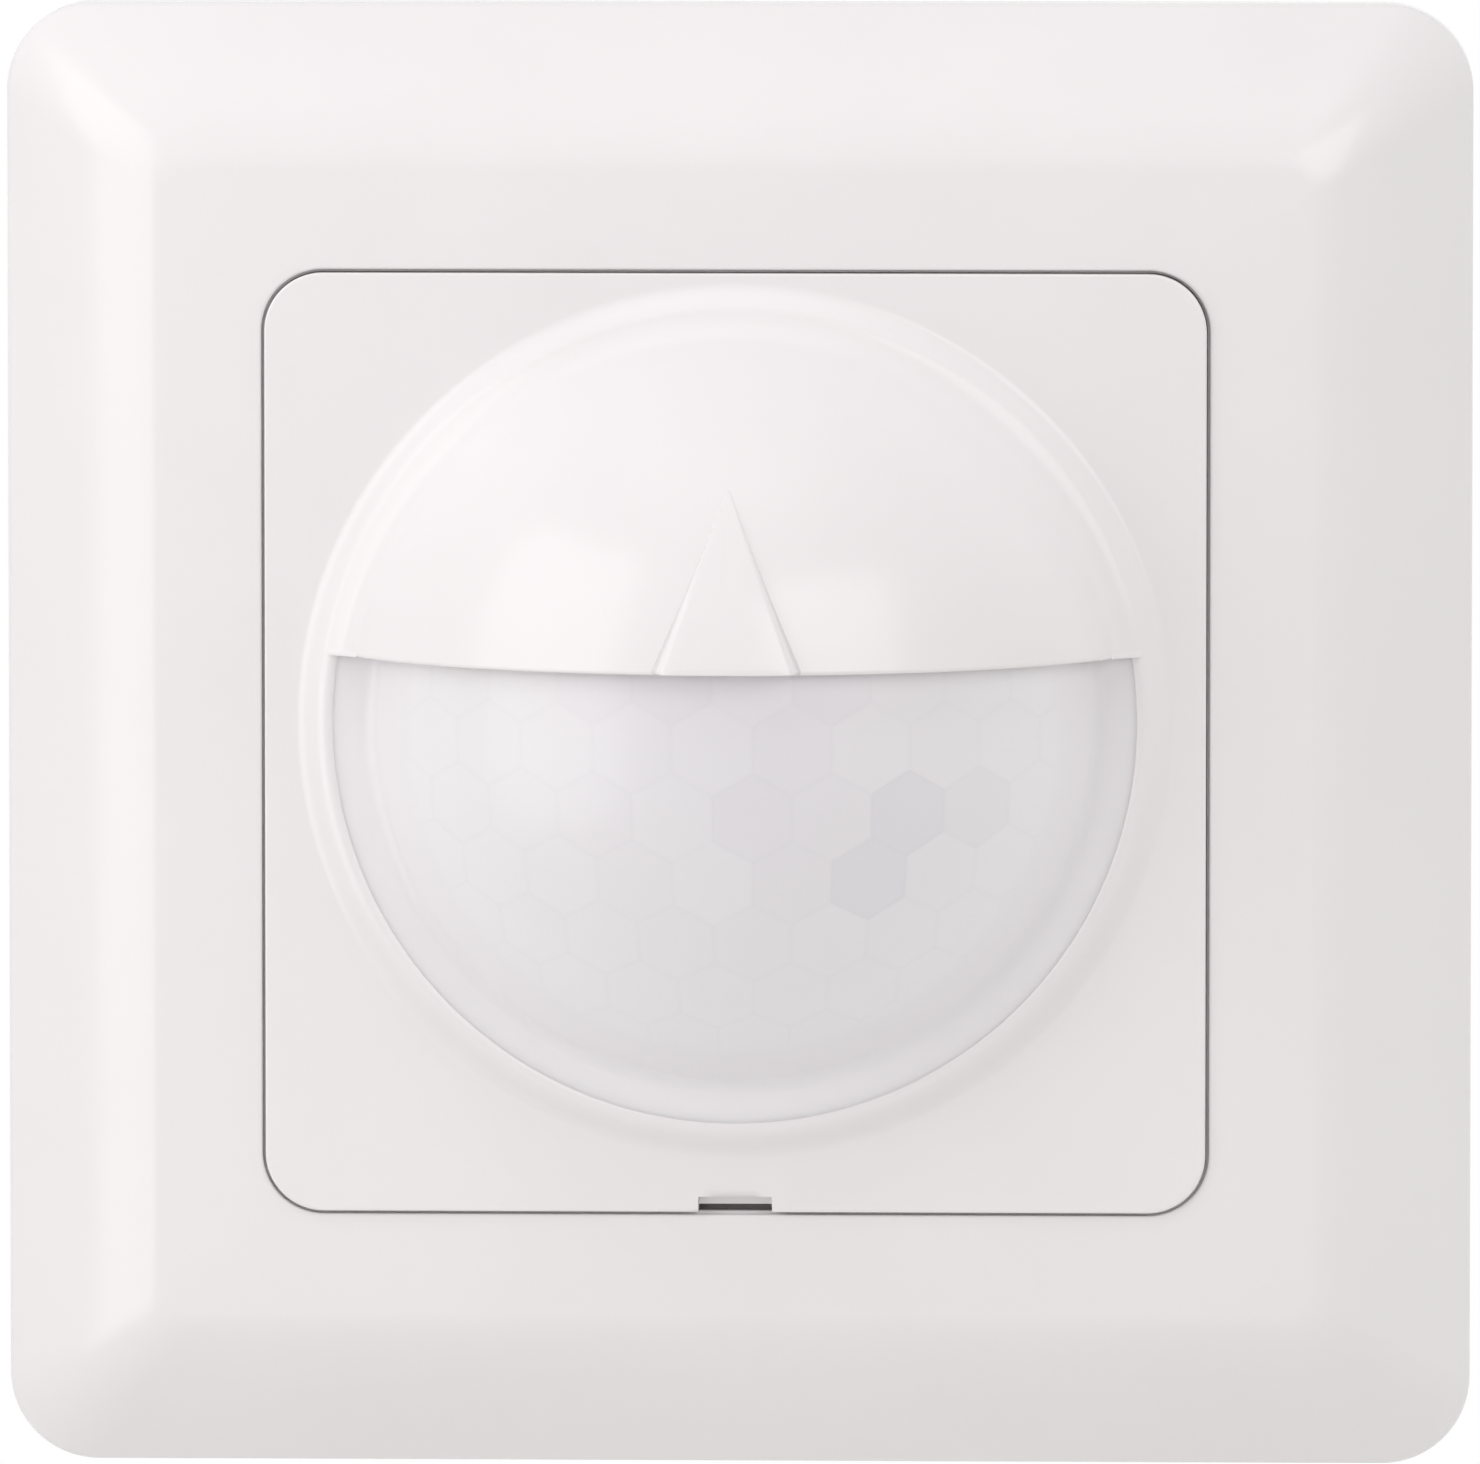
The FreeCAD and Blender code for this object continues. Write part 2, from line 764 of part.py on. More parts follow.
def make_fresnel_lens():
    made = Moulding("fresnel_lens")
    flange, collar = mm.rim_bore + mm.lens_flange, mm.rim_bore - mm.lens_collar_gap
    collar_top = plate_top - mm.lens_collar_drop
    shoulder = collar_top - dome_centre
    skirt = lens_bore
    made.turn(made.side(mm.dome_lift).path([
        (-lens_foot, skirt),
        (-lens_foot, flange),
        (-plate_inside, flange),
        (-plate_inside, collar),
        (-collar_top, collar),
        (-collar_top, root(lens_radius * lens_radius - shoulder * shoulder), lens_radius, 1),
        (-(dome_centre + lens_radius), 0),
        (-(dome_centre + lens_inner), 0, lens_inner, -1),
        (-(dome_centre + root(lens_inner * lens_inner - skirt * skirt)), skirt),
    ]))
    axis, end, inner = mm.dome_lift, hood_edge - mm.lens_lip_gap, collar - mm.lens_lip_wide
    level = end - axis
    outer_end, inner_end = root(collar * collar - level * level), root(inner * inner - level * level)
    lip = made.front(collar_top - mm.lens_lip_rise)
    lip.path([
        (-outer_end, end, collar, 1),
        (0, axis - collar, collar, 1),
        (outer_end, end),
        (inner_end, end, inner, -1),
        (0, axis - inner, inner, -1),
        (-inner_end, end),
    ])
    made.add(lip, mm.lens_lip_rise * 2)
    return made.done()


def make_lens_retainer():
    made = Moulding("lens_retainer")
    plate = made.front(retainer_foot).square(retainer_half, mm.retainer_corner)
    plate.circle(0, mm.dome_lift, lens_bore)
    for side in (-1, 1):
        for level in (-1, 1):
            plate.circle(mm.post_reach * side, mm.post_reach * level, mm.post_radius + mm.post_gap)
    made.add(plate, mm.retainer_thick)
    legs = made.front(leg_tip)
    half = mm.leg_wide / 2
    for level in (-1, 1):
        middle = mm.leg_reach * level
        legs.box(leg_inside, leg_outside, middle - half, middle + half)
        legs.box(-leg_outside, -leg_inside, middle - half, middle + half)
    made.add(legs, retainer_foot - leg_tip)
    return made.done()


def make_support_ring():
    made = Moulding("support_ring")
    plate = made.front(0).square(ring_half, mm.ring_corner).circle(0, 0, mm.ring_hole)
    hole, spread = mm.box_hole, mm.box_slot_long / 2 - mm.box_hole
    for side in (-1, 1):
        plate.circle(box_screw_reach * side, 0, hole)
        plate.circle(claw_screw_x * side, 0, mm.claw_screw + mm.ring_screw_gap)
        middle = box_screw_reach * side
        plate.path([
            (-spread, middle - hole),
            (spread, middle - hole, hole, 1),
            (spread + hole, middle, hole, 1),
            (spread, middle + hole),
            (-spread, middle + hole, hole, 1),
            (-spread - hole, middle, hole, 1),
        ])
        for level in (-1, 1):
            plate.circle(mm.corner_hole_reach * side, mm.corner_hole_reach * level, mm.corner_hole)
            plate.circle(
                mm.carrier_screw_x * side, mm.carrier_screw_z * level, mm.carrier_screw + mm.screw_hole_gap
            )
    made.add(plate, mm.ring_thick)
    return made.done()


def make_front_carrier():
    made = Moulding("front_carrier")
    plate = made.front(mm.ring_thick).square(carrier_half, mm.carrier_corner)
    plate.circle(0, 0, mm.carrier_hole)
    gap = mm.leg_slot_gap
    half = mm.leg_wide / 2 + gap
    for side in (-1, 1):
        for level in (-1, 1):
            plate.circle(
                mm.carrier_screw_x * side, mm.carrier_screw_z * level, mm.carrier_screw + mm.screw_hole_gap
            )
            middle = mm.leg_reach * level
            across = sorted((spring_wall * side, (leg_outside + gap) * side), key=lambda size: size.number)
            plate.box(*across, middle - half, middle + half)
    made.add(plate, mm.carrier_thick)
    groove = made.front(carrier_top)
    groove.circle(0, mm.dome_lift, inner_radius + mm.groove_gap)
    groove.circle(0, mm.dome_lift, inner_bore - mm.groove_gap)
    made.cut(groove, mm.carrier_groove)
    recess = made.front(carrier_top)
    clear = mm.claw_screw_head + mm.head_gap
    for side in (-1, 1):
        recess.circle(claw_screw_x * side, 0, clear)
    made.cut(recess, mm.carrier_thick)
    sinks = made.front(carrier_top)
    for side in (-1, 1):
        for level in (-1, 1):
            sinks.circle(
                mm.carrier_screw_x * side, mm.carrier_screw_z * level, mm.carrier_screw_head + mm.head_gap
            )
    made.cut(sinks, mm.carrier_screw_head_thick + mm.head_gap)
    bosses = made.front(carrier_top)
    for across, up in board_screw_places():
        bosses.circle(across, up, mm.board_boss)
    made.add(bosses, mm.board_boss_tall)
    pilots = made.front(board_back)
    for across, up in board_screw_places():
        pilots.circle(across, up, mm.board_screw)
    made.cut(pilots, mm.board_screw_long - mm.board_thick)
    return made.done()


def board_screw_places():
    """Three screws round the infrared sensor: one above it and one on each side."""
    level = mm.dome_lift - mm.board_screw_drop
    return [
        (sized(0), mm.dome_lift + mm.board_screw_reach),
        (-mm.board_screw_reach, level),
        (mm.board_screw_reach, level),
    ]


def make_cover_springs():
    made = []
    half, strip = mm.spring_wide / 2, mm.spring_strip
    low, high = mm.ring_thick + mm.fit_gap, carrier_top - mm.fit_gap
    middle = (low + high) / 2
    for side in (-1, 1):
        for level in (-1, 1):
            spring = Moulding(f"spring_{side}_{level}")
            leaf = spring.plan(mm.leg_reach * level - half)
            inner, bowed = spring_wall * side, (spring_wall + mm.spring_bow) * side
            leaf.path([
                (inner, -low),
                (inner + strip * side, -low),
                (bowed + strip * side, -middle),
                (inner + strip * side, -high),
                (inner, -high),
                (bowed, -middle),
            ])
            spring.add(leaf, mm.spring_wide)
            made.append(spring.body)
    return group("cover_springs", made)


def make_carrier_screws():
    seat = carrier_top - mm.carrier_screw_head_thick - mm.head_gap
    return group("carrier_screws", [
        screw(
            f"carrier_screw_{side}_{level}", mm.carrier_screw_x * side, mm.carrier_screw_z * level, seat,
            mm.carrier_screw, mm.carrier_screw_long, mm.carrier_screw_head, mm.carrier_screw_head_thick,
        )
        for side in (-1, 1)
        for level in (-1, 1)
    ])


def knob_places():
    """The three setting knobs, below the infrared sensor."""
    return {
        "brightness_knob": (-mm.knob_x, mm.dome_lift - mm.knob_drop),
        "time_knob": (sized(0), mm.dome_lift - mm.middle_knob_drop),
        "range_knob": (mm.knob_x, mm.dome_lift - mm.knob_drop),
    }


def make_inner_cover():
    made = Moulding("inner_cover")
    foot = carrier_top - mm.carrier_groove
    top, edge = mm.inner_height, mm.inner_round
    made.turn(made.side(mm.dome_lift).path([
        (-foot, inner_bore),
        (-foot, inner_radius),
        (edge - top, inner_radius, edge, 1),
        (-top, inner_radius - edge),
        (-top, 0),
        (-inner_under, 0),
        (-inner_under, inner_bore),
    ]))
    holes = made.front(top).circle(0, mm.dome_lift, mm.header_radius + mm.can_hole_gap)
    holes.circle(-mm.eye_x, mm.dome_lift + mm.eye_z, mm.light_sensor_radius + mm.eye_hole_gap)
    holes.circle(mm.eye_x, mm.dome_lift + mm.eye_z, mm.lamp_radius + mm.lamp_flange + mm.eye_hole_gap)
    for across, up in knob_places().values():
        holes.circle(across, up, mm.knob_radius + mm.knob_hole_gap)
    made.cut(holes, mm.inner_face)
    return made.done()


def make_sensor_board():
    made = Moulding("sensor_board")
    outline = made.front(board_back).circle(0, mm.dome_lift, board_radius)
    for across, up in board_screw_places():
        outline.circle(across, up, mm.board_screw + mm.screw_hole_gap)
    made.add(outline, mm.board_thick)
    return made.done()


def make_board_screws():
    return group("board_screws", [
        screw(
            f"board_screw_{place}", across, up, board_front, mm.board_screw, mm.board_screw_long,
            mm.board_screw_head, mm.board_screw_head_thick,
        )
        for place, (across, up) in enumerate(board_screw_places())
    ])


def make_infrared_sensor():
    axis = mm.dome_lift
    keep(rod("sensor_spacer", "y", 0, (board_front, header_foot), axis, mm.spacer_radius), "sensor_spacer")
    keep(rod("sensor_header", "y", 0, (header_foot, can_foot), axis, mm.header_radius), "sensor_header")
    can = rod("can_outside", "y", 0, (can_foot, can_top), axis, mm.can_radius)
    hollow = rod("can_inside", "y", 0, (can_foot, can_top - mm.can_wall), axis, mm.can_radius - mm.can_wall)
    half, tall = mm.window_wide / 2, mm.window_tall / 2
    opening = bound_box("can_opening", (-half, half), (can_foot, can_top), (axis - tall, axis + tall))
    keep(cut("sensor_can", can, fuse("can_space", [hollow, opening])), "sensor_can")
    window = bound_box(
        "sensor_window",
        (-half - mm.can_wall, half + mm.can_wall),
        (can_top - mm.can_wall - mm.window_thick, can_top - mm.can_wall),
        (axis - tall - mm.can_wall, axis + tall + mm.can_wall),
    )
    keep(window, "sensor_window")
    element = mm.element_tall / 2
    keep(
        bound_box("sensor_element", (-half, half), (can_foot, can_foot + mm.element_thick),
                  (axis - element, axis + element)),
        "sensor_element",
    )


def make_eyes():
    level = mm.dome_lift + mm.eye_z
    keep(
        rod("light_sensor", "y", -mm.eye_x, (board_front, board_front + mm.light_sensor_tall), level,
            mm.light_sensor_radius),
        "light_sensor",
    )
    lamp = fuse("status_lamp", [
        rod("lamp_body", "y", mm.eye_x, (board_front, board_front + mm.lamp_tall), level, mm.lamp_radius),
        rod("lamp_foot", "y", mm.eye_x, (board_front, board_front + mm.lamp_flange_thick), level,
            mm.lamp_radius + mm.lamp_flange),
    ])
    keep(lamp, "status_lamp")


def make_chips():
    wide, tall = mm.chip_wide / 2, mm.chip_tall / 2
    across, level = mm.chip_x, mm.dome_lift + mm.chip_z
    keep(
        bound_box(
            "controller_chip",
            (across - wide, across + wide),
            (board_front, board_front + mm.chip_thick),
            (level - tall, level + tall),
        ),
        "controller_chip",
    )
    wide, tall = mm.small_chip_wide / 2, mm.small_chip_tall / 2
    group("small_chips", [
        bound_box(
            f"small_chip_{place}",
            (mm.small_chip_x - wide, mm.small_chip_x + wide),
            (board_front, board_front + mm.small_chip_thick),
            (level + mm.small_chip_spacing * place - tall, level + mm.small_chip_spacing * place + tall),
        )
        for place in (-1, 0, 1)
    ])


def make_knobs():
    half = mm.trimmer_side / 2
    group("trimmer_bodies", [
        bound_box(f"trimmer_{name}", (across - half, across + half),
                  (board_front, board_front + mm.trimmer_thick), (up - half, up + half))
        for name, (across, up) in knob_places().items()
    ])
    slot = mm.knob_slot / 2
    for name, (across, up) in knob_places().items():
        top = knob_foot + mm.knob_tall
        blank = rod(f"{name}_blank", "y", across, (knob_foot, top), up, mm.knob_radius)
        groove = bound_box(f"{name}_groove", (across - slot, across + slot),
                           (top - mm.knob_slot_deep, top + mm.knob_slot_deep),
                           (up - mm.knob_radius, up + mm.knob_radius / 2))
        keep(cut(name, blank, groove), name)


def make_link():
    half = mm.link_spacing * LINK_PINS / 2
    level = (mm.link_z - mm.link_spacing / 2, mm.link_z + mm.link_spacing / 2)
    plug_foot, socket_top = board_back - mm.link_deep, power_front + mm.link_deep
    keep(bound_box("link_plug", (-half, half), (plug_foot, board_back), level), "link_plug")
    keep(bound_box("link_socket", (-half, half), (power_front, socket_top), level), "link_socket")
    pin = mm.link_pin
    group("link_pins", [
        bound_box(
            f"link_pin_{place}",
            (mm.link_spacing * (place + 0.5) - half - pin, mm.link_spacing * (place + 0.5) - half + pin),
            (socket_top, plug_foot),
            (mm.link_z - pin, mm.link_z + pin),
        )
        for place in range(LINK_PINS)
    ])


def barrel(drawing, radius, half):
    """A circle cut off flat on both sides, drawn anticlockwise."""
    rise = root(radius * radius - half * half)
    return drawing.path([
        (half, -rise),
        (half, rise, radius, 1),
        (0, radius, radius, 1),
        (-half, rise),
        (-half, -rise, radius, 1),
        (0, -radius, radius, 1),
    ])


def make_insert_housing():
    made = Moulding("insert_housing")
    made.add(barrel(made.front(-mm.tub_depth), mm.tub_radius, tub_half), mm.tub_depth)
    inside = barrel(made.front(0), mm.tub_radius - mm.tub_wall, tub_inner_half)
    made.cut(inside, mm.tub_depth - mm.tub_wall)
    gap = mm.terminal_gap
    bay = made.front(terminal_front + gap)
    bay.box(-terminal_half - gap, terminal_half + gap, -mm.tub_radius * 2, gap - mm.terminal_top)
    made.cut(bay, mm.tub_depth)
    bosses = made.front(-mm.tub_boss_long)
    for side in (-1, 1):
        for level in (-1, 1):
            bosses.circle(mm.carrier_screw_x * side, mm.carrier_screw_z * level, mm.tub_boss)
    made.add(bosses, mm.tub_boss_long)
    pilots = made.front(0)
    for side in (-1, 1):
        for level in (-1, 1):
            pilots.circle(mm.carrier_screw_x * side, mm.carrier_screw_z * level, mm.carrier_screw)
    made.cut(pilots, mm.carrier_screw_long)
    rails = made.front(power_back - mm.board_rail_thick)
    half = mm.board_rail_long / 2
    overlap = mm.tub_wall / 2
    for side in (-1, 1):
        across = sorted(
            ((tub_inner_half - mm.board_rail) * side, (tub_inner_half + overlap) * side),
            key=lambda size: size.number,
        )
        for level in (-1, 1):
            middle = mm.board_rail_reach * level
            rails.box(*across, middle - half, middle + half)
    made.add(rails, mm.board_rail_thick)
    for side in (-1, 1):
        wedge = made.plan(-mm.wedge_wide / 2)
        base = (tub_half - overlap) * side
        depth = mm.tub_depth
        wedge.path([
            (base, depth - mm.wedge_long),
            (tub_half * side, depth - mm.wedge_long),
            ((tub_half + mm.wedge_rise) * side, depth),
            (base, depth),
        ])
        made.add(wedge, mm.wedge_wide)
    return made.done()


def make_claw_parts():
    """On each side a long screw draws its nut forward, and the claw hung on the nut swings out."""
    reach = mm.nut_wide / 2
    gap, sheet = mm.claw_side_gap, mm.claw_sheet
    depth = mm.nut_depth
    for side, word in ((-1, "left"), (1, "right")):
        middle = claw_screw_x * side
        keep(
            screw(f"claw_screw_{word}", middle, sized(0), mm.ring_thick, mm.claw_screw, mm.claw_screw_long,
                  mm.claw_screw_head, mm.claw_screw_head_thick),
            f"claw_screw_{word}",
        )
        ends = ((tub_half + mm.fit_gap) * side, (claw_screw_x + mm.nut_reach) * side)
        across = sorted(ends, key=lambda size: size.number)
        block = bound_box(f"nut_block_{word}", across, (-depth - mm.nut_thick / 2, -depth + mm.nut_thick / 2),
                          (-reach, reach))
        pin_reach = reach + gap + sheet
        pins = rod(f"nut_pins_{word}", "z", middle, -depth, (-pin_reach, pin_reach), mm.trunnion_radius)
        hole = rod(f"nut_hole_{word}", "y", middle, (-depth - mm.nut_thick, -depth + mm.nut_thick), 0,
                   mm.claw_screw + mm.claw_screw_gap)
        keep(cut(f"claw_nut_{word}", fuse(f"nut_whole_{word}", [block, pins]), hole), f"claw_nut_{word}")
        claw = Moulding(f"claw_{word}")
        web_inside = claw_screw_x + mm.nut_reach + mm.claw_web_gap
        web_outside = web_inside + sheet
        start, end = depth - mm.claw_front_reach, depth + mm.claw_back_reach
        for low in (-pin_reach, reach + gap):
            cheek = claw.plan(low)
            cheek.path([
                ((claw_screw_x - mm.claw_eye) * side, depth - mm.claw_eye),
                (web_outside * side, start),
                (web_outside * side, end),
                (web_inside * side, end),
                ((claw_screw_x - mm.claw_eye) * side, depth + mm.claw_eye),
            ])
            cheek.circle(middle, depth, mm.trunnion_radius + mm.trunnion_gap)
            claw.add(cheek, sheet)
        web = claw.plan(-pin_reach)
        web.path([
            (web_inside * side, start),
            (web_outside * side, start),
            (web_outside * side, end - mm.claw_tooth),
            ((web_outside + mm.claw_tooth / 2) * side, end),
            (web_inside * side, end),
        ])
        claw.add(web, pin_reach * 2)
        claw.done()


def make_power_board():
    made = Moulding("power_board")
    across, up = tub_inner_half - mm.power_board_gap, mm.power_board_tall / 2
    made.add(made.front(power_back).rounded(-across, across, -up, up, mm.power_board_corner), mm.board_thick)
    return made.done()


def on_board(name, across, up, wide, tall, deep):
    """A block that stands on the back of the power board."""
    return bound_box(
        name,
        (across - wide / 2, across + wide / 2),
        (power_back - deep, power_back),
        (up - tall / 2, up + tall / 2),
    )


def make_relay():
    across, up, wall = mm.relay_x, mm.relay_z, mm.relay_wall
    wide, tall = mm.relay_wide, mm.relay_tall
    base_back = power_back - mm.relay_base
    shell = on_board("relay_shell", across, up, wide, tall, mm.relay_deep)
    space = on_board("relay_space", across, up, wide - wall * 2, tall - wall * 2, mm.relay_deep - wall)
    keep(cut("relay_case", shell, space), "relay_case")
    inset = (wall + mm.post_gap) * 2
    keep(on_board("relay_base", across, up, wide - inset, tall - inset, mm.relay_base), "relay_base")
    coil_x = across - mm.coil_offset
    yoke_back = base_back - mm.yoke_sheet
    coil_front = yoke_back - mm.bobbin_flange
    coil_back = coil_front - mm.coil_long
    flange_back = coil_back - mm.bobbin_flange
    keep(rod("relay_coil", "y", coil_x, (coil_back, coil_front), up, mm.coil_radius), "relay_coil")
    group("relay_bobbin", [
        rod("bobbin_front", "y", coil_x, (coil_front, yoke_back), up, mm.bobbin_radius),
        rod("bobbin_back", "y", coil_x, (flange_back, coil_back), up, mm.bobbin_radius),
    ])
    yoke_x = coil_x + mm.bobbin_radius + mm.yoke_gap
    half = mm.bobbin_radius
    yoke = fuse("relay_yoke", [
        bound_box("yoke_foot", (coil_x - half, yoke_x + mm.yoke_sheet), (yoke_back, base_back),
                  (up - half, up + half)),
        bound_box("yoke_side", (yoke_x, yoke_x + mm.yoke_sheet), (flange_back - mm.yoke_gap, base_back),
                  (up - half, up + half)),
    ])
    keep(yoke, "relay_yoke")
    armature_front = flange_back - mm.armature_gap
    armature_back = armature_front - mm.armature_sheet
    keep(
        bound_box("relay_armature", (coil_x - half, yoke_x + mm.yoke_sheet), (armature_back, armature_front),
                  (up - half, up + half)),
        "relay_armature",
    )
    post = yoke_x + mm.yoke_sheet + mm.contact_radius * 2
    contacts = []
    for place in (-1, 1):
        level = up + mm.contact_radius * 3 * place
        contacts.append(fuse(f"contact_{place}", [
            rod(f"contact_post_{place}", "y", post, (coil_back, base_back), level, mm.contact_post),
            rod(f"contact_head_{place}", "y", post, (coil_back - mm.contact_thick, coil_back), level,
                mm.contact_radius),
        ]))
    group("relay_contacts", contacts)


def make_power_parts():
    keep(on_board("film_capacitor", mm.film_x, mm.film_z, mm.film_wide, mm.film_tall, mm.film_deep),
         "film_capacitor")
    cans = (
        ("smoothing", mm.smoothing_x, mm.smoothing_z, mm.smoothing_radius, mm.smoothing_long),
        ("supply", mm.supply_x, mm.supply_z, mm.supply_radius, mm.supply_long),
    )
    for name, across, up, radius, long in cans:
        made = rod(f"{name}_capacitor", "y", across, (power_back - long, power_back), up, radius)
        keep(made, f"{name}_capacitor")
    half = mm.varistor_thick / 2
    disc = rod("varistor", "z", mm.varistor_x, power_back - mm.varistor_radius,
               (mm.varistor_z - half, mm.varistor_z + half), mm.varistor_radius)
    keep(disc, "varistor")
    tube = (power_back - mm.fuse_long, power_back)
    keep(rod("fuse", "y", mm.fuse_x, tube, mm.fuse_z, mm.fuse_radius), "fuse")
    choke = Moulding("choke")
    radius, end = mm.choke_radius, mm.choke_long - mm.choke_flange
    profile = choke.side(mm.choke_z)
    profile.sketch.setExpression("AttachmentOffset.Base.z", mm.choke_x.formula)
    back = -power_back
    choke.turn(profile.path([
        (back, 0),
        (back, radius),
        (back + mm.choke_flange, radius),
        (back + mm.choke_flange, radius - mm.choke_groove),
        (back + end, radius - mm.choke_groove),
        (back + end, radius),
        (back + mm.choke_long, radius),
        (back + mm.choke_long, 0),
    ]))
    choke.done()
    keep(on_board("rectifier", mm.bridge_x, mm.bridge_z, mm.bridge_wide, mm.bridge_tall, mm.bridge_deep),
         "rectifier")


def terminal_places():
    return [mm.terminal_pitch * (place - (TERMINALS - 1) / 2) for place in range(TERMINALS)]


def make_terminals():
    made = Moulding("terminal_block")
    top = -mm.terminal_top
    outline = made.front(-mm.tub_depth).box(-terminal_half, terminal_half, terminal_foot, top)
    made.add(outline, mm.terminal_deep)
    chamber_back = mm.chamber_back_wall - mm.tub_depth
    chamber_front = terminal_front - mm.chamber_front_wall
    chamber_foot, chamber_top = terminal_foot + mm.chamber_foot_wall, top - mm.chamber_top_wall
    half = mm.chamber_wide / 2
    rooms = made.plan(chamber_foot)
    for middle in terminal_places():
        rooms.box(middle - half, middle + half, -chamber_front, -chamber_back)
    made.cut(rooms, chamber_top - chamber_foot, onward=True)
    head_hole = mm.terminal_screw_head + mm.terminal_head_gap
    middle_height = (chamber_foot + chamber_top) / 2
    shafts = made.front(chamber_back)
    for middle in terminal_places():
        shafts.circle(middle, middle_height, head_hole)
    made.cut(shafts, mm.chamber_back_wall)
    wires = made.plan(chamber_foot)
    for middle in terminal_places():
        wires.circle(middle, mm.tub_depth - mm.wire_hole_depth, mm.wire_hole)
    made.cut(wires, mm.chamber_foot_wall)
    slots = made.plan(top)
    bar, gap = mm.busbar_wide / 2, mm.busbar_slot_gap
    for middle in terminal_places():
        slots.box(middle - bar - gap, middle + bar + gap, -busbar_front - gap, -busbar_back + gap)
    made.cut(slots, mm.chamber_top_wall)
    made.done()
    cage_front = chamber_front - mm.cage_gap
    cage_back = cage_front - mm.cage_deep
    side, tall = half - mm.cage_gap, mm.cage_tall / 2
    screw_seat = mm.terminal_head_gap - mm.tub_depth + mm.chamber_back_wall - mm.cage_gap
    shank = busbar_back - mm.terminal_screw_tip - screw_seat
    bars = []
    for place, middle in enumerate(terminal_places(), start=1):
        cage = Moulding(f"terminal_cage_{place}")
        frame = cage.plan(middle_height - tall)
        wall = mm.cage_wall
        frame.box(middle - side, middle + side, -cage_front, -cage_back)
        frame.box(middle - side + wall, middle + side - wall, wall - cage_front, -cage_back - wall)
        cage.add(frame, mm.cage_tall)
        thread = cage.front(cage_back + wall)
        thread.circle(middle, middle_height, mm.terminal_screw + mm.terminal_screw_gap)
        cage.cut(thread, wall)
        cage.done()
        turned = screw(
            f"terminal_screw_{place}", middle, middle_height, screw_seat, mm.terminal_screw, shank,
            mm.terminal_screw_head, mm.terminal_head_thick, forward=-1,
        )
        keep(turned, f"terminal_screw_{place}")
        flat = bound_box(f"bar_flat_{place}", (middle - bar, middle + bar), (busbar_back, busbar_front),
                         (middle_height - tall, -mm.busbar_drop))
        rise = bound_box(f"bar_rise_{place}", (middle - bar, middle + bar), (busbar_front, power_back),
                         (-mm.busbar_drop - mm.busbar_thick, -mm.busbar_drop))
        bars.append(fuse(f"bar_{place}", [flat, rise]))
    group("busbars", bars)


make_cover_frame()
make_front_cover()
make_fresnel_lens()
make_lens_retainer()
make_support_ring()
make_front_carrier()
make_cover_springs()
make_carrier_screws()
make_inner_cover()
make_sensor_board()
make_board_screws()
make_infrared_sensor()
make_eyes()
make_chips()
make_knobs()
make_link()
make_insert_housing()
make_claw_parts()
make_power_board()
make_relay()
make_power_parts()
make_terminals()
doc.recompute()

faults = [made.Label for made in doc.Objects if {"Invalid", "Error"} & set(made.State)]
for name, made in nodes.items():
    shape = made.Shape
    if shape.isNull() or not shape.isValid() or not shape.Solids:
        faults.append(name)
if faults:
    raise SystemExit(f"these pieces didn't build: {', '.join(faults)}")
os.makedirs("parts", exist_ok=True)
for name, made in nodes.items():
    made.Shape.exportStep(f"parts/{name}.step")
    box = made.Shape.BoundBox
    lengths = f"{box.XLength:.1f} x {box.YLength:.1f} x {box.ZLength:.1f} mm"
    print(f"{name}: {len(made.Shape.Solids)} solids, {lengths}, {made.Shape.Volume:.0f} mm3")
print(f"{len(nodes)} pieces")
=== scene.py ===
# %% [markdown]
# # A flush-mounted motion detector
# The real object is a white wall unit: a square cover frame, a central plate with a round rim and
# a half hood, and a milky lens behind the open half-moon. An insert with the electronics sits in
# the wall behind it. The construction comes packed from the CAD model and stays as it is. This
# script gives it its looks: finer meshes for the three moulded pieces that show, and a material
# for every piece.

import math

import bmesh
import bpy
import numpy as np
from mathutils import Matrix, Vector


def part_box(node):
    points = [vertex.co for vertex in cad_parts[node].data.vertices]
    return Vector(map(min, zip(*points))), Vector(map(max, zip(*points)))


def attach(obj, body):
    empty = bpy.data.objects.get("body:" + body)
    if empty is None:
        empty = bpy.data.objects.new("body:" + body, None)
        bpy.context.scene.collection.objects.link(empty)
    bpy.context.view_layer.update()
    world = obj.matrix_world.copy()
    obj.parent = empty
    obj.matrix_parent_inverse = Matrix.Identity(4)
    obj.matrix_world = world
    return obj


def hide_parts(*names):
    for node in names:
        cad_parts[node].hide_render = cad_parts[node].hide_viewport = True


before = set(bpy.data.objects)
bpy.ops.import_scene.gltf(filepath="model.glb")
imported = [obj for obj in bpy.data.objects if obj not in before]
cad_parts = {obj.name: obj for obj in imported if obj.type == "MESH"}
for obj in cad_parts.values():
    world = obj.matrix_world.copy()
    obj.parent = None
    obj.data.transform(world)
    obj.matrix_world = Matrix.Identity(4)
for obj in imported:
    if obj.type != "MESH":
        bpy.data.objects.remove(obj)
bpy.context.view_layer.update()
MM = 0.001

# %% [markdown]
# The camera stands where the photograph was taken from: almost square on, a few degrees above and
# a little to the right, with a long lens. It is made first, from the frame's height in the picture.
# Its focal length is the film's width times the distance, over the width that the picture spans.

# %% Camera
CAMERA_TURN = math.radians(2.0)
CAMERA_RISE = math.radians(4.8)
CAMERA_REACH = 1.2
PICTURE_WIDE_PX = 1480
OBJECT_TALL_PX = 1461
FILM = 36.0
EDGE_DEEP = 0.0026


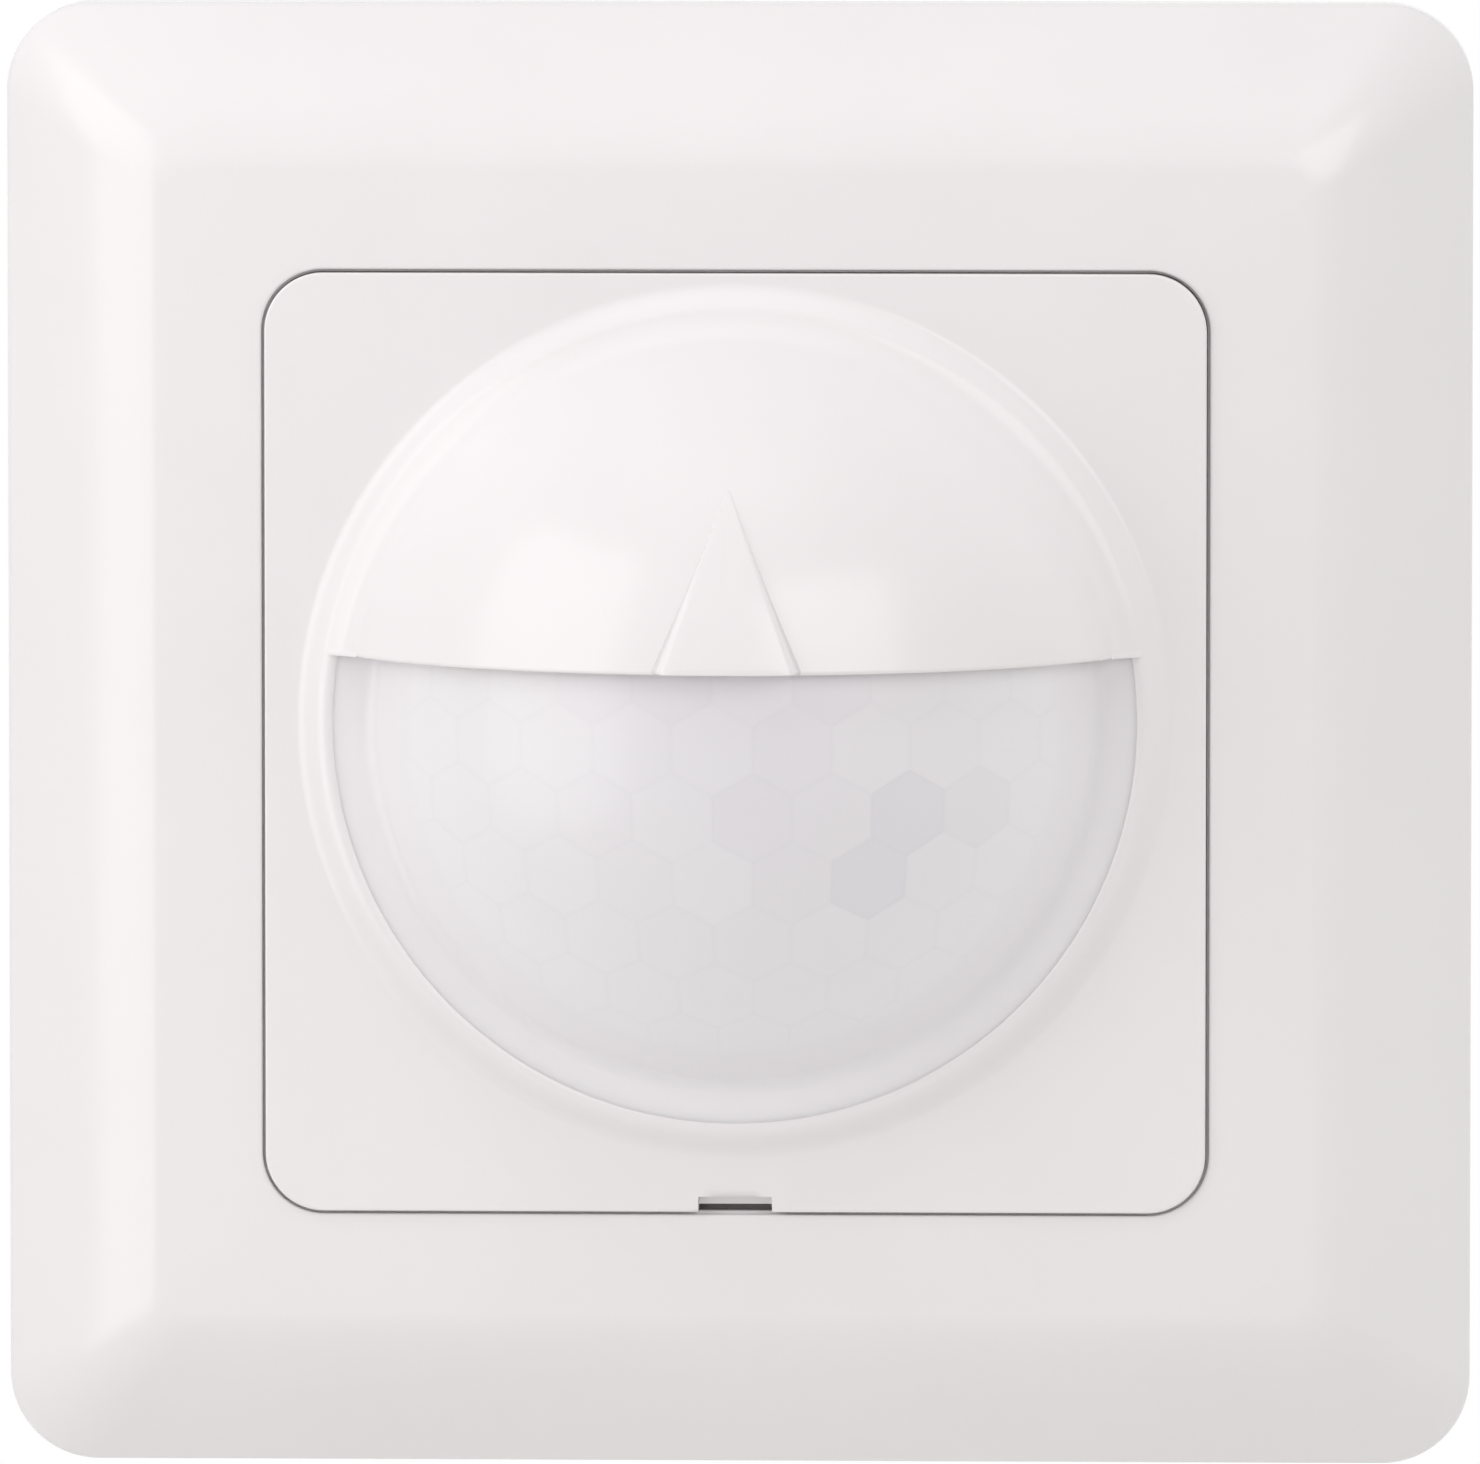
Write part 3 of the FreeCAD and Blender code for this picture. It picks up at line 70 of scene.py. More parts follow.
def direction(turn, rise):
    """From the object towards a point that is turned to the right of straight on, and raised:
    (sine of turn, minus cosine of turn) times the cosine of the rise, and the sine of the rise."""
    return Vector((
        math.sin(turn) * math.cos(rise),
        -math.cos(turn) * math.cos(rise),
        math.sin(rise),
    ))


frame_low, frame_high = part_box("cover_frame")
frame_side = frame_high.z - frame_low.z
seen_tall = frame_side * math.cos(CAMERA_RISE) + EDGE_DEEP * math.sin(CAMERA_RISE)
camera_data = bpy.data.cameras.new("camera")
camera_data.sensor_width = FILM
camera_data.lens = FILM * CAMERA_REACH / (seen_tall * PICTURE_WIDE_PX / OBJECT_TALL_PX)
camera_data.clip_start = 0.05
camera = bpy.data.objects.new("camera", camera_data)
aim = Vector((0, -EDGE_DEEP / 2, 0))
towards = direction(CAMERA_TURN, CAMERA_RISE)
camera.location = aim + towards * CAMERA_REACH
camera.rotation_euler = (-towards).to_track_quat("-Z", "Y").to_euler()
bpy.context.scene.collection.objects.link(camera)
bpy.context.scene.camera = camera
print("lens:", round(camera_data.lens), "mm")

# %% [markdown]
# Every new surface is a grid of points worked out with numpy. One helper turns grids into a piece:
# it joins neighbouring points into four-sided faces, merges the points that meet at poles and
# seams, and turns all faces outwards.


# %% From grids of points to a piece
def grid_faces(rows, columns, wrap_rows, wrap_columns):
    """Four-sided faces of a grid: each point with its neighbour to the right, below, and both."""
    index = np.arange(rows * columns).reshape(rows, columns)
    if wrap_rows:
        index = np.vstack([index, index[:1]])
    if wrap_columns:
        index = np.hstack([index, index[:, :1]])
    corners = (index[:-1, :-1], index[:-1, 1:], index[1:, 1:], index[1:, :-1])
    return np.stack(corners, axis=-1).reshape(-1, 4)


def make_piece(name, grids):
    """One mesh from grids of points in millimetres, each with its two wrap flags."""
    points, faces, start = [], [], 0
    for grid, wrap_rows, wrap_columns in grids:
        points.append(grid.reshape(-1, 3) * MM)
        faces.append(grid_faces(*grid.shape[:2], wrap_rows, wrap_columns) + start)
        start += grid.shape[0] * grid.shape[1]
    mesh = bpy.data.meshes.new(name)
    mesh.from_pydata(np.vstack(points), [], np.vstack(faces).tolist())
    tidy = bmesh.new()
    tidy.from_mesh(mesh)
    bmesh.ops.remove_doubles(tidy, verts=tidy.verts, dist=2e-6)
    bmesh.ops.dissolve_degenerate(tidy, edges=tidy.edges, dist=1e-7)
    bmesh.ops.recalc_face_normals(tidy, faces=tidy.faces)
    tidy.to_mesh(mesh)
    tidy.free()
    mesh.shade_smooth()
    piece = bpy.data.objects.new(name, mesh)
    bpy.context.scene.collection.objects.link(piece)
    print(name, len(mesh.vertices), "points", len(mesh.polygons), "faces")
    return piece


# %% [markdown]
# A mould can't make a knife edge, so every corner of a profile is rounded. Each corner is replaced
# by a small parabola between two points on its edges, with one more point on each side that keeps
# the flats looking flat.


# %% Softened profiles
GUARD_SHARE = 0.15


def softened(profile, radius, closed=True, steps=5):
    """Rounds the corners of a profile. Each corner p goes over to the curve
    (1-u)^2 a + 2u(1-u) p + u^2 b, where a and b lie radius away from p on its two edges."""
    profile = np.asarray(profile, float)
    radius = np.broadcast_to(np.asarray(radius, float), len(profile)).copy()
    before, after = np.roll(profile, 1, axis=0), np.roll(profile, -1, axis=0)
    if not closed:
        before[0], after[-1] = profile[0], profile[-1]
        radius[[0, -1]] = 0
    to_before, to_after = before - profile, after - profile
    long_before = np.linalg.norm(to_before[:, :2], axis=1) + 1e-12
    long_after = np.linalg.norm(to_after[:, :2], axis=1) + 1e-12
    reach = np.minimum(radius, 0.4 * np.minimum(long_before, long_after))[:, None]
    a = profile + to_before * reach / long_before[:, None]
    b = profile + to_after * reach / long_after[:, None]
    u = np.linspace(0, 1, steps)[None, :, None]
    curve = (1 - u) ** 2 * a[:, None] + 2 * u * (1 - u) * profile[:, None] + u**2 * b[:, None]
    guard_a, guard_b = a + (a - profile) * GUARD_SHARE, b + (b - profile) * GUARD_SHARE
    rows = np.concatenate([guard_a[:, None], curve, guard_b[:, None]], axis=1)
    rows = rows.reshape(-1, profile.shape[1])
    moved = np.linalg.norm(np.diff(rows, axis=0, prepend=rows[-1:]), axis=1) > 1e-6
    return rows[moved]


# %% [markdown]
# The cover frame and the plate both follow a square with round corners. The outline is drawn once
# for a quarter and turned three times, so every ring has its points in the same order and two
# rings of different size join into a clean band.


# %% Rings round a square
STRAIGHT_REACH = 22.0
CORNER_TURNS = np.linspace(0, np.pi / 2, 17)
WINDOW_HALF = 5.0
NOTCH_HALF = 2.15
STEP_HALF = 0.02
step_sides = [side * edge for side in (-1, 1) for edge in (WINDOW_HALF, NOTCH_HALF)]
along_side = np.unique(np.round(np.concatenate([
    np.linspace(-STRAIGHT_REACH, STRAIGHT_REACH, 56),
    [edge + gap for edge in step_sides for gap in (-STEP_HALF, STEP_HALF)],
]), 4))
straight_place = np.tile(np.concatenate([along_side, np.full(len(CORNER_TURNS), np.inf)]), 4)
quarter_long = len(along_side) + len(CORNER_TURNS)
on_foot_side = np.arange(4 * quarter_long) // quarter_long == 3


def square_rings(half, corner):
    """x and z of rings round a square. On the first quarter the straight side is x = half and the
    corner is its centre plus corner times (cos, sin) of the turn; the rest is turned by 90
    degrees, which makes (x, z) into (-z, x)."""
    half, corner = np.asarray(half, float)[:, None], np.asarray(corner, float)[:, None]
    side = np.stack(np.broadcast_arrays(half, along_side[None]), axis=-1)
    round_corner = corner[..., None] * np.column_stack([np.cos(CORNER_TURNS), np.sin(CORNER_TURNS)])
    bend = (half - corner)[..., None] + round_corner
    quarter = np.concatenate([side, bend], axis=1)
    turned = [quarter]
    for _ in range(3):
        last = turned[-1]
        turned.append(np.stack([-last[..., 1], last[..., 0]], axis=-1))
    return np.concatenate(turned, axis=1)


def at_height(plan, height):
    """Puts x and z at a height forward of the wall, which is minus y."""
    height = np.broadcast_to(height, plan.shape[:2])
    return np.stack([plan[..., 0], -height, plan[..., 1]], axis=-1)


# %% [markdown]
# ## Cover frame
# On the real frame an upright edge 2.6 mm high turns into a slope that flattens out towards a flat
# crown, and the corner radius shrinks on the way in. That gives the pointed highlights in the
# corners. The profile below goes once round the wall of the moulding, out over the slope and
# back underneath, and is carried round the square. The lip round the opening is cut away in the
# middle of each side, where its rings step up to the ledge.

# %% Cover frame profile
FRAME_HALF = frame_side / MM / 2
FRAME_TOP = -frame_low.y / MM
FRAME_EDGE, FRAME_WALL, SLOPE_WIDE = 2.6, 1.8, 9.4
FRAME_CORNER, CROWN_CORNER, SLOPE_POWER = 5.2, 1.6, 1.5
PLATE_HALF, PLATE_CORNER, SEAM = 27.5, 3.4, 0.2
STEP_TOP, STEP_FOOT, STEP_GAP = 8.4, 7.8, 0.03
LEDGE_HALF, LEDGE_TOP, LEDGE_FOOT, LEDGE_CORNER = 26.0, 5.9, 4.3, 2.0
LIP_THICK, LIP_FOOT = 1.6, 1.3
FOOT_CORNER, SKIRT_RISE, ROW_SPREAD = 4.0, 0.15, 0.85
LIP_MARGIN, CUT_TOP = 0.3, LEDGE_FOOT - 0.05


def slope(inset, drop, steps=26):
    """Half side, height and corner radius down the slope: the rise left to the crown shrinks as a
    power of the way left."""
    way = np.linspace(0, 1, steps) ** ROW_SPREAD
    half = FRAME_HALF - inset - SLOPE_WIDE * way
    height = FRAME_EDGE + (FRAME_TOP - FRAME_EDGE - drop) * (1 - (1 - way) ** SLOPE_POWER)
    return np.column_stack([half, height, FRAME_CORNER + (CROWN_CORNER - FRAME_CORNER) * way])


def cover_frame_rows():
    """Half side, height and corner radius of every ring: the foot's edge, the slope, the opening
    with its step, ledge and lip, and the slope's underside, one wall lower and further in."""
    opening, seam_corner = PLATE_HALF + SEAM, PLATE_CORNER + SEAM
    under = FRAME_TOP - FRAME_WALL
    outer, inner = slope(0, 0), slope(FRAME_WALL, FRAME_WALL)[::-1]
    foot = softened([
        [FRAME_HALF - 2, 0, FOOT_CORNER],
        [FRAME_HALF, 0, FRAME_CORNER],
        outer[0],
        outer[1],
    ], [0, 0.25, 0.9, 0], closed=False)
    inside = softened([
        outer[-1],
        [opening, FRAME_TOP, seam_corner],
        [opening, STEP_TOP, seam_corner],
        [PLATE_HALF + STEP_GAP, STEP_TOP, PLATE_CORNER],
        [PLATE_HALF + STEP_GAP, STEP_FOOT, PLATE_CORNER],
        [opening, STEP_FOOT, seam_corner],
        [opening, LEDGE_TOP, seam_corner],
        [LEDGE_HALF, LEDGE_TOP, LEDGE_CORNER],
        [LEDGE_HALF, LEDGE_FOOT, LEDGE_CORNER],
        [opening, LEDGE_FOOT, seam_corner],
        [opening, LIP_FOOT, seam_corner],
        [opening + LIP_THICK, LIP_FOOT, seam_corner],
        [opening + LIP_THICK, under, seam_corner],
        inner[0],
    ], [0, 0.16, 0.02, 0.02, 0.02, 0.02, 0.1, 0.2, 0.2, 0.1, 0.2, 0.2, 0.2, 0], closed=False)
    skirt = [[FRAME_HALF - FRAME_WALL, rise, FOOT_CORNER] for rise in (SKIRT_RISE, 0)]
    return np.vstack([foot[1:], outer[2:-1], inside, inner[1:], skirt])


rows = cover_frame_rows()
frame_heights = np.repeat(rows[:, 1:2], 4 * quarter_long, axis=1)
over_window = np.abs(straight_place) < WINDOW_HALF
near_lip = rows[:, 0] < PLATE_HALF + SEAM + LIP_THICK + LIP_MARGIN
in_lip = near_lip & (rows[:, 1] < CUT_TOP)
frame_heights[np.ix_(in_lip, over_window)] = CUT_TOP
frame_grid = at_height(square_rings(rows[:, 0], rows[:, 2]), frame_heights)
cover_frame = make_piece("cover_frame_shell", [(frame_grid, True, True)])
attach(cover_frame, "frame")
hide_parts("cover_frame")

# %% [markdown]
# ## Plate with round rim
# The central plate starts as a square with round corners and ends as a round rim. One family of
# rings covers both: each ring is a mix of the square ring and a circle round the dome's axis, so
# the whole front, the crest and the inside come from one profile.

# %% Plate and rim
DOME_RISE = 1.3
PLATE_TOP, PLATE_FOOT, SHELL_HALF, SHELL_TOP, SHELL_CORNER = 9.6, 6.0, 25.7, 7.6, 2.0
RIM_BORE, RIM_FOOT, CREST_RADIUS, CREST_TOP = 23.1, 25.7, 0.75, 10.7
EDGE_ROUND, NOTCH_SHELF = 0.28, 9.1
FLAT_HALF = PLATE_HALF - EDGE_ROUND - 0.06
UNDER_HALF, UNDER_BORE = SHELL_HALF - 0.5, RIM_BORE + 0.15


def circle_rings(radius):
    """Circles round the dome's axis: radius times (cos, sin) of the turn. The turns are the
    directions in which the square's points lie, so that circle and square can be mixed."""
    guide = square_rings([PLATE_HALF], [PLATE_CORNER])[0] - [0, DOME_RISE]
    turn = np.arctan2(guide[:, 1], guide[:, 0])
    radius = np.asarray(radius, float)[:, None]
    return np.stack([radius * np.cos(turn), DOME_RISE + radius * np.sin(turn)], axis=-1)


def arc(centre, radius, start, end, steps):
    """Points on a circle arc of the profile: centre plus radius times (cos, sin) of the turn, which
    is given in degrees."""
    turn = np.radians(np.linspace(start, end, steps))
    return np.column_stack([centre[0] + radius * np.cos(turn), centre[1] + radius * np.sin(turn)])


crest_centre = (RIM_BORE + CREST_RADIUS, CREST_TOP - CREST_RADIUS)
skirt_profile = softened([
    [FLAT_HALF, PLATE_TOP, PLATE_CORNER],
    [PLATE_HALF, PLATE_TOP, PLATE_CORNER],
    [PLATE_HALF, NOTCH_SHELF, PLATE_CORNER],
    [PLATE_HALF, PLATE_FOOT, PLATE_CORNER],
    [SHELL_HALF, PLATE_FOOT, SHELL_CORNER],
    [SHELL_HALF, SHELL_TOP, SHELL_CORNER],
    [UNDER_HALF, SHELL_TOP, SHELL_CORNER],
], [0, EDGE_ROUND, 0.02, 0.2, 0.2, 0.2, 0], closed=False)
fall = np.linspace(0, 1, 22)[1:]
rim_profile = np.vstack([
    [[RIM_BORE, SHELL_TOP + 0.15]],
    [[RIM_BORE, PLATE_TOP]],
    arc(crest_centre, CREST_RADIUS, 180, 90, 9),
    np.column_stack([
        crest_centre[0] + (RIM_FOOT - crest_centre[0]) * fall,
        PLATE_TOP + (CREST_TOP - PLATE_TOP) * (1 + np.cos(np.pi * fall)) / 2,
    ]),
])
bands = 4
mix = np.linspace(0, 1, bands + 2)[1:-1]
square_end, circle_end = square_rings([FLAT_HALF], [PLATE_CORNER])[0], circle_rings([RIM_FOOT])[0]
across_front = np.stack([circle_end * (1 - m) + square_end * m for m in mix])
square_under = square_rings([UNDER_HALF], [SHELL_CORNER])[0]
circle_under = circle_rings([UNDER_BORE])[0]
across_back = np.stack([square_under * (1 - m) + circle_under * m for m in mix])
plate_plan = np.vstack([
    circle_rings(rim_profile[:, 0]),
    across_front,
    square_rings(skirt_profile[:, 0], skirt_profile[:, 2]),
    across_back,
    circle_rings([UNDER_BORE]),
])
plate_heights = np.concatenate([
    rim_profile[:, 1],
    np.full(bands, PLATE_TOP),
    skirt_profile[:, 1],
    np.full(bands + 1, SHELL_TOP),
])[:, None].repeat(4 * quarter_long, axis=1)
print("plate rings:", plate_plan.shape[0], "of", plate_plan.shape[1])

# %% [markdown]
# The notch in the lower edge is pressed into the same surface. Where the foot side passes it, every
# point beyond the notch's depth steps back to it, half as far below a small shelf. Only points
# move, so the skin stays closed.

# %% Notch and closed plate
NOTCH_DEEP, SHELF_DEEP = 0.9, 0.45
in_notch = on_foot_side & (np.abs(straight_place) < NOTCH_HALF)
notch_edge = np.where(plate_heights > NOTCH_SHELF, NOTCH_DEEP, SHELF_DEEP) - PLATE_HALF
pressed = in_notch & (plate_plan[:, :, 1] < notch_edge)
plate_plan[pressed, 1] = notch_edge[pressed]
plate_grid = at_height(plate_plan, plate_heights)
print("pressed points:", int(pressed.sum()))

# %% [markdown]
# ## Hood
# The hood is a piece of a sphere that starts inside the rim's crest and ends at a straight edge a
# little above the middle. The row at the edge keeps its height while its radius steps from the
# outer to the inner skin, so the edge is a flat band with rounded corners.

# %% Hood
HOOD_ROOT, HOOD_ROOT_TOP, HOOD_TOP, HOOD_WALL, HOOD_EDGE = 23.475, 9.88, 25.1, 1.6, 5.2
CAVITY_FLOOR, LIP_SPAN = 9.5, 0.6
bulge = HOOD_TOP - HOOD_ROOT_TOP
HOOD_RADIUS = (HOOD_ROOT**2 + bulge**2) / (2 * bulge)
DOME_CENTRE = HOOD_TOP - HOOD_RADIUS
HOOD_INNER = HOOD_RADIUS - HOOD_WALL


def on_dome(radius, x, z):
    """A point over (x, z) on a sphere round the dome's centre: its height is the centre's plus
    the root of radius squared less the distance from the axis squared."""
    height = DOME_CENTRE + np.sqrt(np.maximum(radius**2 - x**2 - (z - DOME_RISE) ** 2, 0))
    return np.stack([x, -height, z], axis=-1)


def hood_row(radius, edge, way, along=129):
    """One row of the hood from its left to its right end. It lies on the sphere of that radius, and
    way tells how far it has climbed, as an angle, from the straight edge to the round foot."""
    share = (radius - HOOD_INNER) / HOOD_WALL
    foot = CAVITY_FLOOR + (HOOD_ROOT_TOP - CAVITY_FLOOR) * share
    reach = math.sqrt(radius**2 - (foot - DOME_CENTRE) ** 2)
    half_wide = math.sqrt(reach**2 - (edge - DOME_RISE) ** 2)
    x = half_wide * np.sin(np.linspace(-np.pi / 2, np.pi / 2, along))
    slice_radius = np.sqrt(radius**2 - x**2)
    start = np.arcsin((edge - DOME_RISE) / slice_radius)
    end = np.arcsin(np.sqrt(np.maximum(reach**2 - x**2, 0)) / slice_radius)
    return on_dome(radius, x, DOME_RISE + slice_radius * np.sin(start + (end - start) * way))


climb = np.linspace(0, 1, 49)
lip = softened([
    [HOOD_INNER, HOOD_EDGE + LIP_SPAN],
    [HOOD_INNER, HOOD_EDGE],
    [HOOD_RADIUS, HOOD_EDGE],
    [HOOD_RADIUS, HOOD_EDGE + LIP_SPAN],
], [0, 0.2, 0.3, 0], closed=False, steps=7)[1:-1]
hood_grid = np.stack(
    [hood_row(HOOD_INNER, lip[0][1], way) for way in climb[:0:-1]]
    + [hood_row(radius, edge, 0) for radius, edge in lip]
    + [hood_row(HOOD_RADIUS, lip[-1][1], way) for way in climb[1:]]
)

# %% [markdown]
# Where the hood leaves the rim, the mould has a fillet. It is a wedge that fills the valley: its top
# is a hollow arc that touches the crest and the hood, and its foot lies inside them.

# %% Fillet between rim and hood
VALLEY_RADIUS, VALLEY_GUARD = 3.0, 0.03
VALLEY_INSIDE = [[24.0, 10.2], [23.0, 10.2]]


def valley_profile():
    """The hollow arc's middle lies one valley radius off both round shapes. The triangle between the
    three middles gives its direction: cos = (a^2 + b^2 - c^2) / 2ab."""
    to_crest = Vector((crest_centre[0], crest_centre[1] - DOME_CENTRE))
    a, b, c = HOOD_RADIUS + VALLEY_RADIUS, to_crest.length, CREST_RADIUS + VALLEY_RADIUS
    turn = math.atan2(to_crest.y, to_crest.x) + math.acos((a * a + b * b - c * c) / (2 * a * b))
    middle = (a * math.cos(turn), DOME_CENTRE + a * math.sin(turn))
    to_hood = math.degrees(turn) + 180
    down = math.degrees(math.atan2(crest_centre[1] - middle[1], crest_centre[0] - middle[0])) + 360
    hollow = arc(middle, VALLEY_RADIUS, to_hood, down, 11)
    guard_first = hollow[0] * (1 + VALLEY_GUARD) - hollow[1] * VALLEY_GUARD
    guard_last = hollow[-1] * (1 + VALLEY_GUARD) - hollow[-2] * VALLEY_GUARD
    inside = [*VALLEY_INSIDE, hollow[0] - [0.1, 0.2]]
    return np.vstack([[guard_first], hollow, [guard_last], inside])


def part_ring(profile, edge, along=161):
    """Carries a profile of (radius, height) round the part of the rim above an edge, with both ends
    in the plane of that edge. Each end is closed towards the middle of its profile."""
    radius, height = profile[:, :1], profile[:, 1:2]
    start = np.arcsin((edge - DOME_RISE) / radius)
    way = np.linspace(0, 1, along)
    turn = start + (np.pi - 2 * start) * way
    z = DOME_RISE + radius * np.sin(turn)
    grid = np.stack(np.broadcast_arrays(radius * np.cos(turn), -height, z), axis=-1)
    first, last = [np.tile(grid[:, end].mean(axis=0), (len(profile), 1, 1)) for end in (0, -1)]
    return np.concatenate([first, grid, last], axis=1)


valley_grid = part_ring(valley_profile(), HOOD_EDGE)

# %% [markdown]
# A small triangle stands above the edge. Its face is flatter than the hood, so it is flush at its
# tip and 0.6 mm proud at its foot, and its sides lean in. It is a shell of its own that starts
# inside the hood's wall.

# %% Raised triangle
MARK_FOOT, MARK_WIDE, MARK_TALL, MARK_RELIEF = 5.25, 9.4, 10.5, 0.6
MARK_CORNER, TIP_RELIEF, MARK_ROOT, FACE_LEAN = 0.35, 0.05, -0.3, 0.22


def mark_grid():
    """Rings of the triangle, from the middle of its root out, up its sides and in over its face.
    Each step is an inset from the outline, how far the sides lean in, and a share of the relief."""
    tips = np.array([[-MARK_WIDE / 2, 0], [MARK_WIDE / 2, 0], [0, MARK_TALL]])
    sides = np.linalg.norm(np.roll(tips, -1, axis=0) - tips, axis=1)
    inscribed = MARK_WIDE * MARK_TALL / sides.sum()
    middle = np.array([0, inscribed])
    outline = softened(tips, MARK_CORNER, steps=6)
    onward = np.roll(outline, -1, axis=0)
    spread = np.linspace(outline, onward, 12, endpoint=False, axis=1).reshape(-1, 2)
    steps = [(inset, 0, 0) for inset in (inscribed, 1.5, 0.5, 0)]
    steps += [(0, 0.17, 0.85), (0, 0.19, 0.96)]
    steps += [(inset, FACE_LEAN, 1) for inset in (0.05, 0.5, 1.1, 1.8, inscribed)]
    rows = []
    for inset, lean, share in steps:
        plan = (middle + (spread - middle) * (1 - inset / inscribed)) * [1 - lean, 1]
        proud = TIP_RELIEF + (MARK_RELIEF - TIP_RELIEF) * (1 - plan[:, 1] / MARK_TALL)
        lift = proud * share if share else MARK_ROOT
        rows.append(on_dome(HOOD_RADIUS + lift, plan[:, 0], plan[:, 1] + MARK_FOOT))
    return np.stack(rows)


# %% [markdown]
# Four short posts stand behind the plate near its corners, and the lens retainer sits on them.
# Each is a small profile turned round its own axis. Then plate, hood, fillet, triangle and posts
# become one piece, as they come out of one mould.

# %% Posts and the whole front cover
POST_REACH, POST_RADIUS, POST_FOOT, POST_TOP = 22.0, 1.1, 4.6, SHELL_TOP + 0.2


def turned(profile, x, z, around=32):
    """Turns a profile of (radius, height) round an axis along the line of sight: the axis plus
    radius times (cos, sin) of the turn."""
    turn = np.linspace(0, 2 * np.pi, around, endpoint=False)
    profile = np.asarray(profile, float)
    radius, height = profile[:, :1], profile[:, 1:2]
    places = (x + radius * np.cos(turn), -height, z + radius * np.sin(turn))
    return np.stack(np.broadcast_arrays(*places), axis=-1)


post_profile = [
    [0, POST_FOOT],
    [POST_RADIUS - 0.2, POST_FOOT],
    [POST_RADIUS - 0.05, POST_FOOT + 0.05],
    [POST_RADIUS, POST_FOOT + 0.2],
    [POST_RADIUS, POST_TOP],
    [0, POST_TOP],
]
post_places = [(side * POST_REACH, level * POST_REACH) for side in (-1, 1) for level in (-1, 1)]
front_cover = make_piece("front_cover_shell", [
    (plate_grid, True, True),
    (hood_grid, True, False),
    (valley_grid, True, False),
    (mark_grid(), False, True),
    *[(turned(post_profile, x, z), False, True) for x, z in post_places],
])
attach(front_cover, "cover")
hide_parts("front_cover")

# %% [markdown]
# ## Lens
# The lens is a thin milky dome with a flange that sits under the plate. Its profile runs from the
# outer pole down the outside, round the flange and back up the inside. In the half-moon its collar
# stands higher and fills the space up to the rim. Both profiles have the same number of points, so
# one grid goes round and changes over behind the hood's edge.

# %% Lens
LENS_RADIUS, LENS_INNER, LENS_BORE = HOOD_INNER - 0.25, HOOD_INNER - 1.25, 20.9
FLANGE, LENS_FOOT, FILLET_RISE = 24.1, 6.6, 1.4
COVERED_COLLAR, OPEN_COLLAR = (23.0, 9.3), (RIM_BORE + 0.6, 10.6)
CHANGE_ABOVE_EDGE, CHANGE_REACH, CHANGE_HALF_TURN = 0.1, 20.4, 5e-4


def dome_profile(radius, foot_reach, steps):
    """Radius and height down a sphere from its pole to a distance from the axis: the sphere's
    radius times (sin, cos) of the turn away from the pole."""
    turn = np.linspace(0, math.asin(foot_reach / radius), steps)
    return np.column_stack([radius * np.sin(turn), DOME_CENTRE + radius * np.cos(turn)])


def lens_profile(reach, top):
    """A profile whose collar has this reach and top. A fillet joins it to the dome: its corner is
    where the dome's tangent meets the collar's top."""
    rise = top + FILLET_RISE - DOME_CENTRE
    outside = dome_profile(LENS_RADIUS, math.sqrt(LENS_RADIUS**2 - rise**2), 90)
    inside = dome_profile(LENS_INNER, LENS_BORE, 70)[::-1]
    corner = outside[-1] + np.array([rise / outside[-1][0] * FILLET_RISE, -FILLET_RISE])
    foot = softened([
        outside[-1],
        corner,
        [reach, top],
        [reach, SHELL_TOP],
        [FLANGE, SHELL_TOP],
        [FLANGE, LENS_FOOT],
        [LENS_BORE, LENS_FOOT],
        inside[0],
    ], [0, 1.0, 0.02, 0.1, 0.1, 0.1, 0.1, 0], closed=False)
    return np.vstack([outside[:-1], foot, inside[1:]])


edge_turn = math.asin((HOOD_EDGE + CHANGE_ABOVE_EDGE - DOME_RISE) / CHANGE_REACH)
covered_turn = np.linspace(edge_turn, np.pi - edge_turn, 112)
open_start = np.pi - edge_turn + CHANGE_HALF_TURN
open_turn = np.linspace(open_start, 2 * np.pi + edge_turn - CHANGE_HALF_TURN, 128)
lens_parts = []
for turn, collar in ((covered_turn, COVERED_COLLAR), (open_turn, OPEN_COLLAR)):
    radius, height = np.split(lens_profile(*collar), 2, axis=1)
    x, z = radius * np.cos(turn), DOME_RISE + radius * np.sin(turn)
    lens_parts.append(np.stack(np.broadcast_arrays(x, -height, z), axis=-1))
fresnel_lens = make_piece("fresnel_lens_shell", [(np.concatenate(lens_parts, axis=1), False, True)])
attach(fresnel_lens, "cover")
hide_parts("fresnel_lens")

# %% [markdown]
# ## Materials
# Every material is made from a few parts: a colour written as its sRGB code, clouds at a real size
# in millimetres, and small bumps. One function fills a node's inputs, and one adds a node with its
# settings. Three kinds of node do most of the work. Map Range spreads its first input, which runs
# from the second to the third, over the span from the fourth to the fifth. Mix takes a share and
# two colours, at places 0, 6 and 7. Bump turns heights into a dented surface.


# %% Colours, nodes and the common skin
CLOUD_SPAN = (0.3, 0.7)


def colour(code):
    """An sRGB code as linear values: c / 12.92 for dark channels, else ((c + 0.055) / 1.055)^2.4."""
    channels = np.array([int(code[i:i + 2], 16) for i in (1, 3, 5)]) / 255
    linear = np.where(channels <= 0.04045, channels / 12.92, ((channels + 0.055) / 1.055) ** 2.4)
    return (*linear.tolist(), 1.0)


